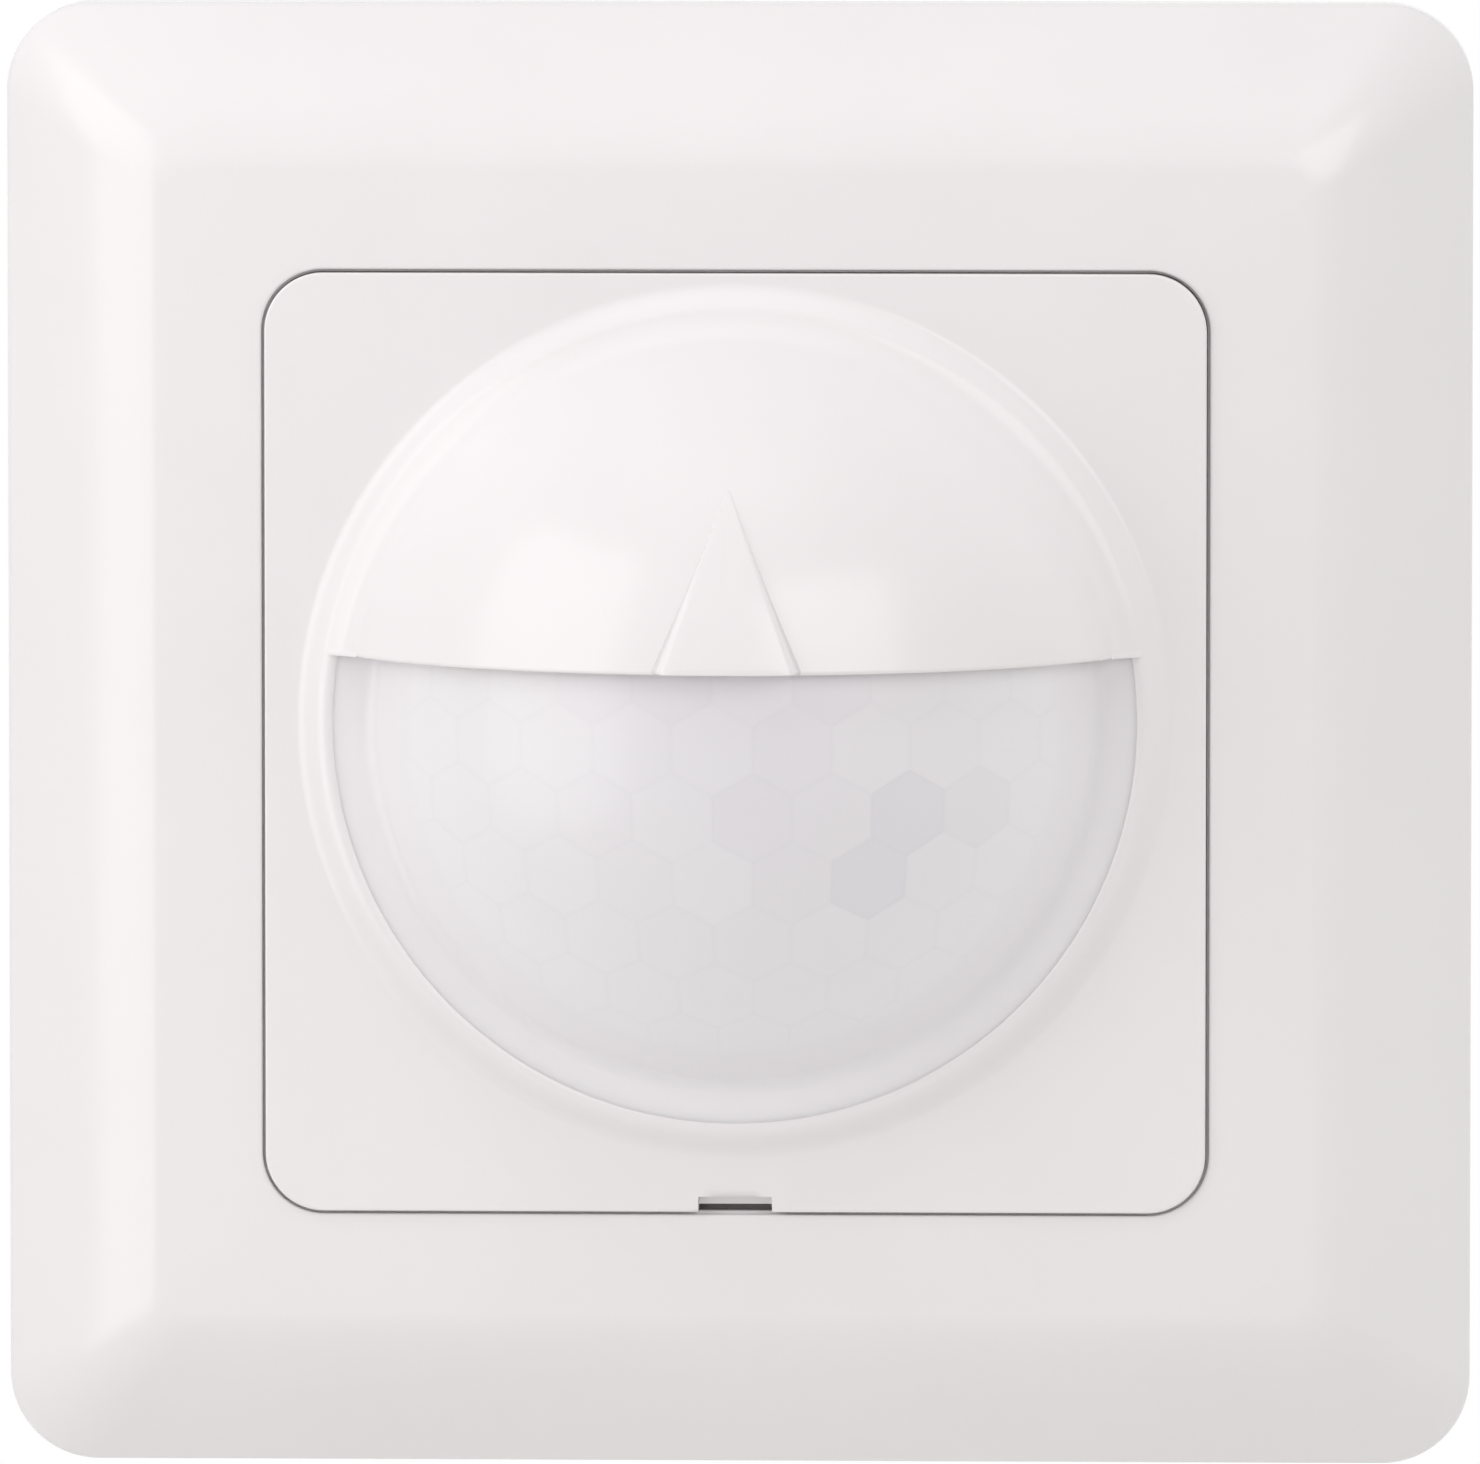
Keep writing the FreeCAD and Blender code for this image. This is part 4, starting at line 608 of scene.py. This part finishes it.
def plug(tree, node, sockets):
    """Fills inputs, given in order, or by name or place. Each is a plain value, a colour code, a
    socket, or a whole node, which stands for its first output that is switched on."""
    for key, value in sockets.items() if isinstance(sockets, dict) else enumerate(sockets):
        if isinstance(value, bpy.types.Node):
            value = next(output for output in value.outputs if output.enabled)
        if isinstance(value, bpy.types.NodeSocket):
            tree.links.new(value, node.inputs[key])
        else:
            node.inputs[key].default_value = colour(value) if isinstance(value, str) else value


def add(tree, kind, sockets=(), **settings):
    """Adds a node with its settings and fills its inputs."""
    node = tree.nodes.new("ShaderNode" + kind)
    for key, value in settings.items():
        setattr(node, key, value)
    plug(tree, node, sockets)
    return node


def clouds(tree, size, stretch=(1, 1, 1), detail=3.0):
    """Cloudy values, mostly within the cloud span, in blobs of about size millimetres drawn out
    along an axis by stretch: the place on the object is divided by the blob's three sizes."""
    place = add(tree, "TexCoord").outputs["Object"]
    blob = [along * size * MM for along in stretch]
    scaled = add(tree, "VectorMath", [place, blob], operation="DIVIDE")
    return add(tree, "TexNoise", {"Vector": scaled, "Scale": 1.0, "Detail": detail})


def material(name, sockets=()):
    """A new material with its node tree and its surface shader."""
    made = bpy.data.materials.new(name)
    made.use_nodes = True
    shader = made.node_tree.nodes["Principled BSDF"]
    plug(made.node_tree, shader, sockets)
    return made, made.node_tree, shader


def skin(tree, shader, tones, share, fine, rough, depth, under=None):
    """Two tones mixed by a share. A fine pattern moves the roughness between its two ends and makes
    bumps that are depth millimetres high, over other bumps if they are given."""
    light, dark = tones
    bumps = {"Distance": depth * MM, "Height": fine}
    if under:
        bumps["Normal"] = under
    plug(tree, shader, {
        "Base Color": add(tree, "Mix", {0: share, 6: light, 7: dark}, data_type="RGBA"),
        "Roughness": add(tree, "MapRange", [fine, *CLOUD_SPAN, *rough]),
        "Normal": add(tree, "Bump", bumps),
    })


# %% [markdown]
# ### Plastics
# Moulded plastic is never quite even. Its tone drifts a little over centimetres, and its skin
# copies the mould: polished for the white cover, spark-eroded for the pieces inside. Real
# spark-eroded grain measures about a tenth of a millimetre. That is too fine to show, so it is drawn
# two or three times as coarse.


# %% Plastics
def plastic(name, light, dark, rough, grain, depth, index=1.5):
    """Two close tones mixed by broad clouds, and grain of a given size as roughness and bumps."""
    made, tree, shader = material(name, {"IOR": index})
    share = add(tree, "MapRange", [clouds(tree, 14, detail=2), *CLOUD_SPAN, 0, 1])
    skin(tree, shader, (light, dark), share, clouds(tree, grain), (rough * 0.85, rough * 1.15), depth)
    return made


glossy_white = plastic("glossy_polycarbonate", "#F5F1F2", "#F3EFF0", 0.18, 6.0, 0.0015, 1.58)
PLASTICS = {
    "satin_white_abs": plastic("satin_white_abs", "#E9E8E3", "#E3E2DC", 0.42, 0.25, 0.008),
    "grey_carrier": plastic("grey_carrier", "#8D9296", "#84898D", 0.45, 0.3, 0.010),
    "dark_pbt": plastic("dark_pbt", "#2B2D30", "#242629", 0.5, 0.22, 0.010),
    "terminal_grey": plastic("terminal_grey", "#B9BDBE", "#AEB2B3", 0.45, 0.28, 0.008),
    "knob_orange": plastic("knob_orange", "#E8701B", "#DB6413", 0.38, 0.25, 0.006),
    "trimmer_blue": plastic("trimmer_blue", "#2B6BB5", "#245FA5", 0.32, 0.2, 0.004),
    "relay_blue": plastic("relay_blue", "#2F62A0", "#29588F", 0.28, 0.35, 0.004),
    "film_yellow": plastic("film_yellow", "#E3B51F", "#D6A715", 0.33, 0.3, 0.004),
}
print("plastics:", len(PLASTICS) + 1)

# %% [markdown]
# ### Milky lens
# The lens is polyethylene that lets heat rays through. Its inside is cut into a honeycomb of small
# lenses, which show through as faint cells with rings. The pattern lies on the dome: the angle
# from the axis times the radius gives the distance along it.

# %% Places on the dome
CELL_WIDE, CELL_SHIFT = 4.7, (0.19, 0, 0.11)
CELL_MIDDLE = (0.5, 0, math.sqrt(3) / 2)
FRONT_ON = (1, 0, 1)


def along_dome(tree):
    """Distance along the dome from its axis, as x and z in cell widths."""
    place = add(tree, "TexCoord").outputs["Object"]
    centre = (0, -DOME_CENTRE * MM, DOME_RISE * MM)
    out = add(tree, "VectorMath", [place, centre], operation="SUBTRACT")
    unit = add(tree, "VectorMath", [out], operation="NORMALIZE")
    facing = add(tree, "VectorMath", [unit, (0, -1, 0)], operation="DOT_PRODUCT")
    angle = add(tree, "Math", [facing], operation="ARCCOSINE")
    reach = add(tree, "Math", [angle, LENS_RADIUS / CELL_WIDE], operation="MULTIPLY")
    flat = add(tree, "VectorMath", [unit, FRONT_ON], operation="MULTIPLY")
    way = add(tree, "VectorMath", [flat], operation="NORMALIZE")
    return add(tree, "VectorMath", {0: way, "Scale": reach}, operation="SCALE")


def honeycomb(tree, place):
    """Offset from the middle of the nearest cell, and the reach towards its edge, where it is 0.5.
    Two square grids, half a step apart, are drawn out by the root of 3; the nearer middle wins."""
    offsets = []
    for shift in ((0, 0, 0), CELL_MIDDLE):
        start = tuple(np.add(shift, CELL_SHIFT).tolist())
        moved = add(tree, "VectorMath", [place, start], operation="ADD")
        snapped = add(tree, "VectorMath", [moved, (1, 1, math.sqrt(3))], operation="SNAP")
        rest = add(tree, "VectorMath", [moved, snapped], operation="SUBTRACT")
        offset = add(tree, "VectorMath", [rest, CELL_MIDDLE], operation="SUBTRACT")
        offsets.append(add(tree, "VectorMath", [offset, FRONT_ON], operation="MULTIPLY"))
    lengths = [add(tree, "VectorMath", [offset], operation="LENGTH") for offset in offsets]
    nearer = add(tree, "Math", lengths, operation="LESS_THAN")
    chosen = add(tree, "Mix", {0: nearer, 4: offsets[1], 5: offsets[0]}, data_type="VECTOR")
    size = add(tree, "VectorMath", [chosen], operation="ABSOLUTE")
    reaches = [
        add(tree, "VectorMath", [size, way], operation="DOT_PRODUCT")
        for way in ((1, 0, 0), CELL_MIDDLE)
    ]
    return chosen, add(tree, "Math", reaches, operation="MAXIMUM")


# %% [markdown]
# The lens is painted in layers over one base tone. A layer holds the pattern that it follows, the
# two values between which it sets in, its share at each of them, and its colour. The middle is a
# little deeper in tone than the outside, which is painted light that lifts the dome's steep outer
# part. The cells' edges are faint lines, three cells carry painted shade as in the photograph, and
# the outermost strip has no cells.

# %% Milky lens
# Painted shade: three cells, each given by its middle in millimetres and the share of the dark
# colour.
PAINTED_SHADE_CELLS = [((11.2, -4.4), 0.17), ((9.2, -9.1), 0.17), ((16.0, -5.3), 0.08)]
EDGE_SHARE, RING_SHARE, RING_TURN = 0.06, 0.05, 60.0
BORDER_START, BORDER_END = 4.55, 4.75


def milky_lens():
    """Base tone, drifting cells, painted light that makes it paler outside, edge lines, painted
    shade on three cells, rings, plain border. Each layer gives under (1 - share) + colour share."""
    made, tree, shader = material("milky_polyethylene", {
        "IOR": 1.53,
        "Subsurface Weight": 0.6,
        "Subsurface Scale": 0.0012,
        "Subsurface Radius": (1, 1, 1),
        "Roughness": 0.22,
    })
    place = along_dome(tree)
    offset, to_edge = honeycomb(tree, place)
    middle = add(tree, "VectorMath", [place, offset], operation="SUBTRACT")
    cell = add(tree, "TexNoise", {"Vector": middle, "Scale": 0.9})
    from_middle = add(tree, "VectorMath", [offset], operation="LENGTH")
    turns = add(tree, "Math", [from_middle, RING_TURN], operation="MULTIPLY")
    ring = add(tree, "Math", [turns], operation="SINE")
    reach = add(tree, "VectorMath", [place], operation="LENGTH")
    layers = [
        (cell, 0.35, 0.6, 0, 1, "#F3EFF3"),
        # Painted light: the dome is paler towards its outside.
        (reach, 0.8, 4.0, 0, 1, "#FBF6F9"),
        (to_edge, 0.45, 0.5, 0, EDGE_SHARE, "#CFCFD6"),
    ]
    # Painted shade on three cells.
    for spot, share in PAINTED_SHADE_CELLS:
        spot_place = (spot[0] / CELL_WIDE, 0, spot[1] / CELL_WIDE)
        apart = add(tree, "VectorMath", [middle, spot_place], operation="DISTANCE")
        layers.append((apart, 0.50, 0.52, share, 0, "#C9CAD6"))
    layers.append((ring, -1, 1, 0, RING_SHARE, "#F0EEF1"))
    layers.append((reach, BORDER_START, BORDER_END, 0, 1, "#FAF4F8"))
    paint = "#EEEAEF"
    for *spread, over in layers:
        share = add(tree, "MapRange", spread)
        paint = add(tree, "Mix", {0: share, 6: paint, 7: over}, data_type="RGBA")
    plug(tree, shader, {"Base Color": paint})
    print("lens layers:", len(layers))
    return made


lens_material = milky_lens()

# %% [markdown]
# ### Metals
# Rolled sheet, turned screws, cast cores and wire differ mostly in how their fine scratches run.
# Scratches are clouds drawn out along one axis, a few times as coarse as real ones so that they
# show. Zinc adds the pale crystals that grow when the sheet is galvanised.


# %% Metals
def metal(name, light, dark, rough, size, stretch, depth=0.002, crystals=0.0):
    """Two tones of metal, scratches of a given size and stretch, and crystals of a given size."""
    made, tree, shader = material(name, {"Metallic": 1.0})
    share = add(tree, "MapRange", [clouds(tree, 6, detail=2), *CLOUD_SPAN, 0, 1])
    if crystals:
        place = add(tree, "TexCoord").outputs["Object"]
        cells = add(tree, "TexVoronoi", {"Vector": place, "Scale": 1 / (crystals * MM)})
        share = add(tree, "SeparateColor", [cells.outputs["Color"]])
    scratches = clouds(tree, size, stretch)
    skin(tree, shader, (light, dark), share, scratches, (rough * 0.7, rough * 1.3), depth)
    return made


METALS = {
    "zinc_steel": metal("zinc_steel", "#C6CACC", "#B2B7BA", 0.32, 0.15, (1, 1, 1), 0.002, 2.4),
    "spring_steel": metal("spring_steel", "#B4B4B2", "#A4A5A5", 0.24, 0.06, (12, 1, 1)),
    "screw_steel": metal("screw_steel", "#C3C1B6", "#AFAEA5", 0.26, 0.05, (1, 9, 1)),
    "can_nickel": metal("can_nickel", "#CFCBC2", "#BEB9AF", 0.2, 0.08, (1, 6, 1), 0.0012),
    "brass": metal("brass", "#D1AE62", "#BD9850", 0.25, 0.08, (1, 6, 1)),
    "copper": metal("copper", "#C9805A", "#B56D4A", 0.28, 0.08, (1, 1, 8)),
    "relay_iron": metal("relay_iron", "#A6A7A8", "#8F9193", 0.38, 0.1, (1, 1, 6)),
}
print("metals:", len(METALS))

# %% [markdown]
# ### Circuit board
# A board is glass cloth under green solder mask. The copper tracks under the mask make it lighter,
# and tinned pads sit on a 2.54 mm grid where chance puts them. Tracks come from a pattern of square
# cells, pads from a regular one.

# %% Circuit board
TRACK_APART, PADS_APART = 1.9, 2.54


def circuit_board():
    """Lighter mask where a cell's middle is nearer than 0.37 of its width, a pad within 0.25."""
    coat = {"IOR": 1.5, "Coat Weight": 0.3, "Coat Roughness": 0.1}
    made, tree, shader = material("circuit_board", coat)
    place = add(tree, "TexCoord").outputs["Object"]
    plan = add(tree, "VectorMath", [place, FRONT_ON], operation="MULTIPLY")
    squares = {"Vector": plan, "Scale": 1 / (TRACK_APART * MM), "Randomness": 0.55}
    tracks = add(tree, "TexVoronoi", squares, distance="CHEBYCHEV", feature="F1")
    track = add(tree, "MapRange", [tracks.outputs["Distance"], 0.36, 0.38, 1, 0])
    masked = add(tree, "Mix", {0: track, 6: "#1F6B3C", 7: "#2B7E49"}, data_type="RGBA")
    grid = {"Vector": plan, "Scale": 1 / (PADS_APART * MM), "Randomness": 0.0}
    pads = add(tree, "TexVoronoi", grid)
    chance = add(tree, "SeparateColor", [pads.outputs["Color"]])
    used = add(tree, "MapRange", [chance, 0.62, 0.63, 0, 1])
    disc = add(tree, "MapRange", [pads.outputs["Distance"], 0.24, 0.26, 1, 0])
    pad = add(tree, "Math", [used, disc], operation="MULTIPLY")
    raised = add(tree, "Math", [track, pad], operation="ADD")
    copper_bumps = add(tree, "Bump", {"Distance": 0.03 * MM, "Height": raised})
    cloth = clouds(tree, 0.35)
    skin(tree, shader, (masked, "#C9CBCC"), pad, cloth, (0.24, 0.34), 0.003, copper_bumps)
    plug(tree, shader, {"Metallic": pad})
    return made


# %% [markdown]
# ### Windings
# Windings are rings of enamelled copper wire, drawn as bands across the coil's axis. The grooves
# between the turns carry painted shade in dark brown, the bumps between the turns catch the light,
# and the enamel is a clear coat.

# %% Windings
INTO_WALL = (0, 1, 0)


def windings(name, light, dark, pitch, band=None):
    """Enamelled wire in turns a pitch apart: the sine of 2 pi times the depth over the pitch, with
    painted shade in the grooves between the turns. A band limits the wire to a stretch of the depth,
    given as two distances behind the wall's face, and leaves a dark core."""
    made, tree, shader = material(name, {"Coat Weight": 0.7, "Coat Roughness": 0.12, "IOR": 1.5})
    place = add(tree, "TexCoord").outputs["Object"]
    along = add(tree, "VectorMath", [place, INTO_WALL], operation="DOT_PRODUCT")
    turns = add(tree, "Math", [along, 2 * math.pi / (pitch * MM)], operation="MULTIPLY")
    wave = add(tree, "Math", [turns], operation="SINE")
    groove = add(tree, "MapRange", [wave, -1, -0.2, 0, 1])
    drift = clouds(tree, 1.2)
    share = add(tree, "MapRange", [drift, *CLOUD_SPAN, 0, 1])
    wire = add(tree, "Mix", {0: share, 6: light, 7: dark}, data_type="RGBA")
    # Painted shade: the grooves between the turns are darkened.
    coil = add(tree, "Mix", {0: groove, 6: "#3A1A0E", 7: wire}, data_type="RGBA")
    shine = add(tree, "MapRange", [drift, *CLOUD_SPAN, 0.5, 0.8])
    if band:
        start, end = band
        wound = add(tree, "Math", [along, (start + end) / 2, (end - start) / 2], operation="COMPARE")
        coil = add(tree, "Mix", {0: wound, 6: "#35363A", 7: coil}, data_type="RGBA")
        shine = add(tree, "Math", [wound, shine], operation="MULTIPLY")
    plug(tree, shader, {
        "Base Color": coil,
        "Metallic": shine,
        "Roughness": 0.3,
        "Normal": add(tree, "Bump", {"Distance": pitch * 0.4 * MM, "Height": groove}),
    })
    return made


# %% [markdown]
# ### Capacitors and coatings
# An electrolytic capacitor wears a dark shrink sleeve with a pale stripe along its minus side, and
# its aluminium end shows. Chips, varistor, fuse and lamp are dipped or cast, which leaves a soft,
# slightly wavy skin.


# %% Capacitors and coatings
def sleeved_can(name, node):
    """An electrolytic capacitor: a dark shrink sleeve with a pale stripe where x passes 0.73 of the
    radius, and the bare aluminium end within 0.81 of it, inside the sleeve's rolled edge."""
    low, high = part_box(node)
    middle, radius = (low + high) / 2, (high.x - low.x) / 2
    end = high.y - middle.y
    made, tree, shader = material(name, {"IOR": 1.5})
    place = add(tree, "TexCoord").outputs["Object"]
    out = add(tree, "VectorMath", [place, tuple(middle)], operation="SUBTRACT")
    side = add(tree, "SeparateXYZ", [out])
    flat = add(tree, "VectorMath", [out, FRONT_ON], operation="MULTIPLY")
    reach = add(tree, "VectorMath", [flat], operation="LENGTH")
    stripe = add(tree, "MapRange", [side.outputs["X"], 0.72 * radius, 0.74 * radius, 0, 1])
    inner = add(tree, "MapRange", [reach, 0.80 * radius, 0.82 * radius, 1, 0])
    back = add(tree, "MapRange", [side.outputs["Y"], end - 0.2 * MM, end - 0.1 * MM, 0, 1])
    bare = add(tree, "Math", [inner, back], operation="MULTIPLY")
    sleeve = add(tree, "Mix", {0: stripe, 6: "#23262C", 7: "#9DA2A6"}, data_type="RGBA")
    skin(tree, shader, (sleeve, "#C9CBCD"), bare, clouds(tree, 0.4), (0.28, 0.4), 0.008)
    plug(tree, shader, {"Metallic": bare})
    return made


def coating(name, light, dark, rough, size, depth, sockets=()):
    """A dipped, fired or cast skin: two tones in broad clouds and soft bumps of a given size."""
    made, tree, shader = material(name, sockets)
    share = add(tree, "MapRange", [clouds(tree, size * 6, detail=2), *CLOUD_SPAN, 0, 1])
    skin(tree, shader, (light, dark), share, clouds(tree, size), (rough * 0.8, rough * 1.2), depth)
    return made


GLASSY = {"Coat Weight": 0.6, "Coat Roughness": 0.08}
CHOKE_FLANGE = 0.0009
choke_low, choke_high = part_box("choke")
choke_band = (choke_low.y + CHOKE_FLANGE, choke_high.y - CHOKE_FLANGE)
COATINGS = {
    "black_epoxy": coating("black_epoxy", "#26272A", "#1E1F22", 0.5, 0.12, 0.008),
    "ceramic_chip": coating("ceramic_chip", "#B99C78", "#A98B66", 0.45, 0.1, 0.003),
    "varistor_blue": coating("varistor_blue", "#2F66B0", "#28589C", 0.3, 0.6, 0.03, GLASSY),
    "fuse_brown": coating("fuse_brown", "#6A4630", "#5C3B28", 0.4, 0.3, 0.01, GLASSY),
    "filter_window": coating("filter_window", "#3A3436", "#2F2A2D", 0.12, 0.5, 0.001, {
        "Metallic": 0.6,
    }),
    "lamp_red": coating("lamp_red", "#C3202A", "#B01A24", 0.12, 0.8, 0.002, {
        "Subsurface Weight": 0.5, "Subsurface Scale": 0.001, **GLASSY,
    }),
    "clear_epoxy": coating("clear_epoxy", "#D9E4E6", "#CCD9DC", 0.1, 0.8, 0.002, {
        "Transmission Weight": 0.7, "IOR": 1.5,
    }),
    "coil_copper": windings("coil_copper", "#B0542C", "#9B4522", 0.16),
    "ferrite_choke": windings("ferrite_choke", "#B0542C", "#9B4522", 0.3, choke_band),
    "circuit_board": circuit_board(),
    "smoothing_can": sleeved_can("smoothing_can", "smoothing_capacitor"),
    "supply_can": sleeved_can("supply_can", "supply_capacitor"),
}
print("coatings:", len(COATINGS))

# %% [markdown]
# ## Studio
# Two softboxes stand in front, a tall one close by on the left and one higher to the right. Their
# mirror images on the round hood tell where they were. Six weaker ones fill in and leave no mirror
# image. Four are wide, at both sides, above and behind, and give the even tones of a white room.
# Two small ones stand near: one makes the left lighter than the right, one lifts the lower slope.

# %% Lights
def softbox(name, turn, rise, reach, wide, tall, glow, mirrored=True):
    """An area light that looks at the object from a reach away. Turn is its angle to the right of
    straight on. Its power is pi times its area times its glow."""
    data = bpy.data.lights.new(name, "AREA")
    data.shape = "RECTANGLE"
    data.size, data.size_y = wide, tall
    data.energy = math.pi * wide * tall * glow
    lamp = bpy.data.objects.new(name, data)
    away = direction(math.radians(turn), math.radians(rise))
    lamp.location = away * reach
    lamp.rotation_euler = (-away).to_track_quat("-Z", "Y").to_euler()
    lamp.visible_glossy = mirrored
    bpy.context.scene.collection.objects.link(lamp)
    print(name, round(data.energy, 2), "W")


softbox("left softbox", -52, 8, 0.36, 0.27, 0.5, 1.1)
softbox("right softbox", 27, 22, 0.8, 0.5, 0.45, 1.25)
softbox("top fill", 0, 75, 0.8, 0.6, 0.6, 1.8, mirrored=False)
softbox("left fill", -80, 0, 0.8, 0.9, 0.9, 0.32, mirrored=False)
softbox("right fill", 80, 0, 0.8, 0.9, 0.9, 0.78, mirrored=False)
softbox("near left fill", -45, 25, 0.22, 0.16, 0.16, 0.4, mirrored=False)
softbox("low fill", 0, -60, 0.3, 0.2, 0.2, 0.3, mirrored=False)
softbox("back fill", 180, 20, 0.8, 0.9, 0.9, 0.6, mirrored=False)

# %% [markdown]
# The world is white to the camera, to mirror images and through glass, and a softer grey as light
# on the object. The floor far below does the same, and the object gets a little light back from
# it. Seen from below, the floor is clear, so it never hides the object.

# %% World and floor
WORLD_LIGHT = 0.37
WHITE = "#FFFFFF"
FLOOR_HALF, FLOOR_HEIGHT = 3.0, -0.3


def shown(tree):
    """One for rays that show the backdrop: from the camera, mirrored, or passed through glass."""
    rays = add(tree, "LightPath").outputs
    in_front = [rays["Is Camera Ray"], rays["Is Glossy Ray"]]
    seen = add(tree, "Math", in_front, operation="MAXIMUM")
    return add(tree, "Math", [seen, rays["Is Transmission Ray"]], operation="MAXIMUM")


world = bpy.data.worlds.new("studio")
bpy.context.scene.world = world
world.use_nodes = True
sky = world.node_tree
soft = add(sky, "Background", {"Color": WHITE, "Strength": WORLD_LIGHT})
plain = add(sky, "Background", {"Color": WHITE, "Strength": 1.0})
backdrop = add(sky, "MixShader", [shown(sky), soft, plain])
plug(sky, sky.nodes["World Output"], {"Surface": backdrop})

made, tree, shader = material("pale_floor", {"Base Color": "#E6E6E4", "Roughness": 0.7})
plain = add(tree, "Emission", {"Color": WHITE, "Strength": 1.0})
from_above = add(tree, "MixShader", [shown(tree), shader, plain])
from_below = add(tree, "NewGeometry").outputs["Backfacing"]
both_sides = add(tree, "MixShader", [from_below, from_above, add(tree, "BsdfTransparent")])
plug(tree, tree.nodes["Material Output"], {"Surface": both_sides})
floor_corners = [
    (side * FLOOR_HALF, depth * FLOOR_HALF, FLOOR_HEIGHT)
    for side, depth in ((-1, -1), (1, -1), (1, 1), (-1, 1))
]
floor_mesh = bpy.data.meshes.new("floor")
floor_mesh.from_pydata(floor_corners, [], [(0, 1, 2, 3)])
floor_mesh.materials.append(made)
floor = bpy.data.objects.new("floor", floor_mesh)
bpy.context.scene.collection.objects.link(floor)
bpy.context.scene.view_settings.view_transform = "Standard"
print("floor:", 2 * FLOOR_HALF, "m wide")

# %% [markdown]
# ### Who wears what
# The list below names the pieces of each material. The last line makes sure that no piece of the
# model was left out.

# %% Materials onto the pieces
WEARERS = {
    "satin_white_abs": "lens_retainer inner_cover",
    "grey_carrier": "front_carrier",
    "dark_pbt": "insert_housing sensor_spacer link_plug link_socket relay_base",
    "terminal_grey": "terminal_block relay_bobbin",
    "knob_orange": "brightness_knob time_knob range_knob",
    "trimmer_blue": "trimmer_bodies",
    "relay_blue": "relay_case",
    "film_yellow": "film_capacitor",
    "zinc_steel": "support_ring claw_left claw_right terminal_cage_1 terminal_cage_2 terminal_cage_3",
    "spring_steel": "cover_springs",
    "screw_steel": "carrier_screws board_screws claw_screw_left claw_screw_right "
                   "terminal_screw_1 terminal_screw_2 terminal_screw_3",
    "can_nickel": "sensor_header sensor_can",
    "brass": "link_pins relay_contacts claw_nut_left claw_nut_right",
    "copper": "busbars",
    "relay_iron": "relay_yoke relay_armature",
    "black_epoxy": "controller_chip rectifier",
    "ceramic_chip": "sensor_element small_chips",
    "varistor_blue": "varistor",
    "fuse_brown": "fuse",
    "filter_window": "sensor_window",
    "lamp_red": "status_lamp",
    "clear_epoxy": "light_sensor",
    "coil_copper": "relay_coil",
    "ferrite_choke": "choke",
    "circuit_board": "sensor_board power_board",
    "smoothing_can": "smoothing_capacitor",
    "supply_can": "supply_capacitor",
}
cover_frame.data.materials.append(glossy_white)
front_cover.data.materials.append(glossy_white)
fresnel_lens.data.materials.append(lens_material)
every_material = {**PLASTICS, **METALS, **COATINGS}


def dress(node, made):
    """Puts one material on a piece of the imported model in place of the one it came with."""
    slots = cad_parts[node].data.materials
    slots.clear()
    slots.append(made)


dressed = {"cover_frame", "front_cover", "fresnel_lens"}
for name, nodes in WEARERS.items():
    for node in nodes.split():
        dress(node, every_material[name])
        dressed.add(node)
print("not dressed:", sorted(set(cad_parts) - dressed))
